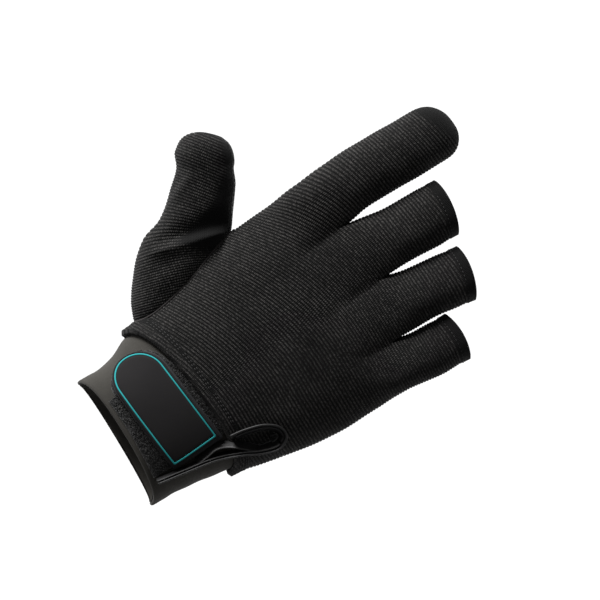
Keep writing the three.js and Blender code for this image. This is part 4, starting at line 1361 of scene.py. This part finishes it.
def route_over(points, lean):
    """Feet and standing directions of a band over a flat path; it leans to the right of the path."""
    tangent = unit(np.gradient(points, axis=0))
    out = np.stack([tangent[:, 1], -tangent[:, 0], np.zeros(len(points))], axis=1)
    found = [ground(x, y) for x, y, _ in points - out * lean[:, None] * TAB_WIDTH * 0.6]
    feet, ups = (np.array(part) for part in zip(*found))
    soften(feet[:, 2], 8)
    soften(ups, 8)
    ups[:, 1] = 0
    ups = unit(ups) * (1 - TAB_UPRIGHT) + np.array([0, 0, 1]) * TAB_UPRIGHT
    return feet, unit(ups + out * lean[:, None])


def tab_route(count, offset, part):
    on = curve(range(len(TAB_ROUTE)), [(s * WRIST_WIDTH / 2, a * PALM_LENGTH, 0) for s, a in TAB_ROUTE])
    share = np.linspace(*part, count)
    flat = on(share * (len(TAB_ROUTE) - 1))
    if offset:
        tangent = unit(np.gradient(flat, axis=0))
        flat = flat + offset * np.stack([-tangent[:, 1], tangent[:, 0], np.zeros(count)], axis=1)
    return route_over(flat, TAB_LEAN * smooth(share, 0.3, 0.5))


def strip(feet, ups, wall, width):
    """A band that stands on its edge, with rounded edges that swell a little."""
    out = unit(np.cross(unit(np.gradient(feet, axis=0)), ups))
    half = [(wall * 0.3, 0), (wall / 2, 0.03), (wall / 2 + TAB_BEAD, 0.125)]
    half += [(wall / 2, n / 8) for n in range(2, 7)]
    half += [(side, 1 - up) for side, up in half[2::-1]]
    profile = [(-side, up) for side, up in half] + half[::-1]
    points = np.stack([feet + ups * (TAB_LIFT + up * width) + out * side for side, up in profile], axis=1)
    return points.reshape(-1, 3), capped_faces(len(feet), len(profile))


layers = []
for count, offset, part, wall, share in TAB_LAYERS:
    layers.append(strip(*tab_route(count, offset, part), wall, TAB_WIDTH * share))
fold = curve(range(len(TAB_FOLD)), [(x, y, 0) for x, y in TAB_FOLD])(np.linspace(0, len(TAB_FOLD) - 1, 50))
layers.append(strip(*route_over(fold, np.full(len(fold), FOLD_LEAN)), 0.6, TAB_WIDTH * 0.66))
gather("pull_loop_leather", layers, TAB_LEATHER, ("pull_loop",))


# Stitches: short arched threads in a row along a path on a surface
def thread_row(path, out, length=1.5, gap=0.55, radius=0.13):
    run = run_of(path)
    made = []
    for n in range(int(run[-1] / (length + gap))):
        at = n * (length + gap) + length * np.array([0, 0.12, 0.5, 0.88, 1])
        height = radius * np.array([-1.2, 0.2, 0.7, 0.2, -1.2])
        place = between(at, run, path) + unit(between(at, run, out)) * height[:, None]
        made.append(tube(place, radius * np.array([0.6, 1, 1, 1, 0.6]), 6))
    return made


def on_glove(i, k, t, lift):
    """A path along column k of finger i, or round it at t where k is an array."""
    ks = np.atleast_1d(k)
    ts = np.broadcast_to(np.atleast_1d(t)[:, None], (np.size(t), len(ks)))
    points, out = [grid.reshape(-1, 3) for grid in surface(partial(glove_column, i), ks, ts)]
    return points + out * lift, out


# Rows of stitches: paths on a surface, their way out and, where they differ, the stitches' sizes
HEM_STITCHES = (5.4, 6.5)  # from the hem's edge
OPENING_STITCH = 2.9  # from a finger's opening
SEAM_STITCHES = (9.35, 14.65)  # columns
THUMB_STITCHES = (9.4, 16.6)


def hem_rows():
    """Twice round the wrist: over the back, down the outer side, back under the palm and up."""
    for distance in HEM_STITCHES:
        t = HEM_LOW + distance / PALM_LENGTH
        lift = float(hem_lift(np.array(distance)))
        turns = [(i, np.linspace(6, 2, 12)) for i in range(len(fingers))]
        turns += [(LAST, np.linspace(2, -2, 16))]
        turns += [(i, np.linspace(14, 10, 12)) for i in range(LAST, -1, -1)]
        turns += [(0, np.linspace(10, 6, 16))]
        path, out = zip(*[on_glove(i, ks, t, lift) for i, ks in turns])
        yield np.concatenate(path), np.concatenate(out), 1.3, 0.6


def opening_rows():
    for i, finger in enumerate(fingers):
        if not finger["closed"]:
            t = finger["end"] - OPENING_STITCH / PALM_LENGTH
            path, out = on_glove(i, np.linspace(0, RING, 65), t, 0.3)
            bow(path, finger, OPENING_STITCH)
            yield path, out, 1.1, 0.6, 0.11


def seam_rows():
    """Beside the seams between knit and leather, broken where the thumb hides them."""
    for i, finger in enumerate(fingers):
        for k in SEAM_STITCHES:
            outer = (i, k) in ((0, SEAM_STITCHES[0]), (LAST, SEAM_STITCHES[1]))
            share = 1 if i else 0.9 if outer else 0.93
            end = 1 + (finger["length"] * share - 4.4) / PALM_LENGTH
            ts = np.linspace(HEM_HIGH + 0.01, end, 120) if outer else np.linspace(1.02, end, 60)
            path, out = on_glove(i, k, ts, 0.02)
            if outer and i == 0:
                outside = depth_inside(thumb_tree, path) < -0.5
                last = np.argmin(outside)
                first = len(outside) - np.argmin(outside[::-1])
                yield path[:last], out[:last]
                yield path[first:], out[first:]
            else:
                yield path, out


def thumb_rows():
    for k in THUMB_STITCHES:
        ts = np.linspace(0.1, 0.93, 100)
        path, out = thumb_column(k)(ts), facing(thumb_column, k, ts, 0.05, 0.01)
        first = np.nonzero(depth_inside(hand_tree, path) < -0.6)[0][0]
        yield path[first:], out[first:]


def thumb_seam():
    """The line where the thumb meets the back of the hand: places (column, t) in the order they lie."""
    low, high = [], []
    ts = np.linspace(0.262, 0.95, 260)
    for k in np.arange(4.6, 8.51, 0.06):
        within = np.nonzero(depth_inside(thumb_tree, glove_column(0, k)(ts)) > 0)[0]
        if len(within) and within[0] > 0:
            low.append((k, ts[within[0]]))
            high.append((k, ts[within[-1]]))
    return low[::-1] + high


seam_places = [on_glove(0, k, t, 0.35) for k, t in thumb_seam()]
seam_points, seam_out = (np.concatenate(part) for part in zip(*seam_places))
soften(seam_points, 6)
inwards = unit(np.cross(np.gradient(seam_points, axis=0), seam_out))
beside_seam = (seam_points + inwards * 1.5, seam_out, 1.3, 0.6)
threads = []
for row in (*hem_rows(), *opening_rows(), *seam_rows(), *thumb_rows(), beside_seam):
    threads += thread_row(*row)
gather("seam_stitches", threads, THREAD)
gather("thumb_seam_cord", [tube(seam_points, np.full(len(seam_points), 0.5), 10)], CORD)


# Camera and light
CAMERA_TURN = math.radians(31)  # of the picture's right side, from +Y towards +X
CAMERA_AIM = (-11.6, 96.4)
CAMERA_HEIGHT = 850
PICTURE_WIDTH = 250  # at the height of the wrist's middle
SUN_WAY = (0.95, -0.12, -0.255)
camera = bpy.data.objects.new("camera", bpy.data.cameras.new("camera"))
bpy.context.scene.collection.objects.link(camera)
right = Vector((math.sin(CAMERA_TURN), math.cos(CAMERA_TURN), 0))
up = Vector((-math.cos(CAMERA_TURN), math.sin(CAMERA_TURN), 0))
back = right.cross(up)
camera.matrix_world = Matrix((
    (right.x, up.x, back.x, CAMERA_AIM[0] * MM),
    (right.y, up.y, back.y, CAMERA_AIM[1] * MM),
    (right.z, up.z, back.z, CAMERA_HEIGHT * MM),
    (0, 0, 0, 1),
))
camera.data.sensor_width = 36
camera.data.lens = 36 * CAMERA_HEIGHT / PICTURE_WIDTH
camera.data.clip_start = 0.05
camera.data.clip_end = 100
bpy.context.scene.camera = camera

world = bpy.data.worlds.new("world")
world.use_nodes = True
world.node_tree.nodes["Background"].inputs["Color"].default_value = (1, 1, 1, 1)
world.node_tree.nodes["Background"].inputs["Strength"].default_value = 0.34
bpy.context.scene.world = world
bpy.context.scene.view_settings.view_transform = "Standard"

sun = bpy.data.lights.new("key", "SUN")
sun.energy = 11
sun.angle = math.radians(30)
key = bpy.data.objects.new("key", sun)
bpy.context.scene.collection.objects.link(key)
key.rotation_euler = Vector(SUN_WAY).to_track_quat("-Z", "Y").to_euler()

floor_mesh = bpy.data.meshes.new("floor")
corners = [(-30, -30, -1), (30, -30, -1), (30, 30, -1), (-30, 30, -1)]
floor_mesh.from_pydata(corners, [], [(0, 1, 2, 3)])
floor = bpy.data.objects.new("floor", floor_mesh)
bpy.context.scene.collection.objects.link(floor)
floor_material, _, _ = material("floor_paper", (0.88, 0.88, 0.88), 0.9)
floor_mesh.materials.append(floor_material)
floor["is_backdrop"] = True

visual_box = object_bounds()
[[list(corner) for corner in box] for box in (cad_box, visual_box)]
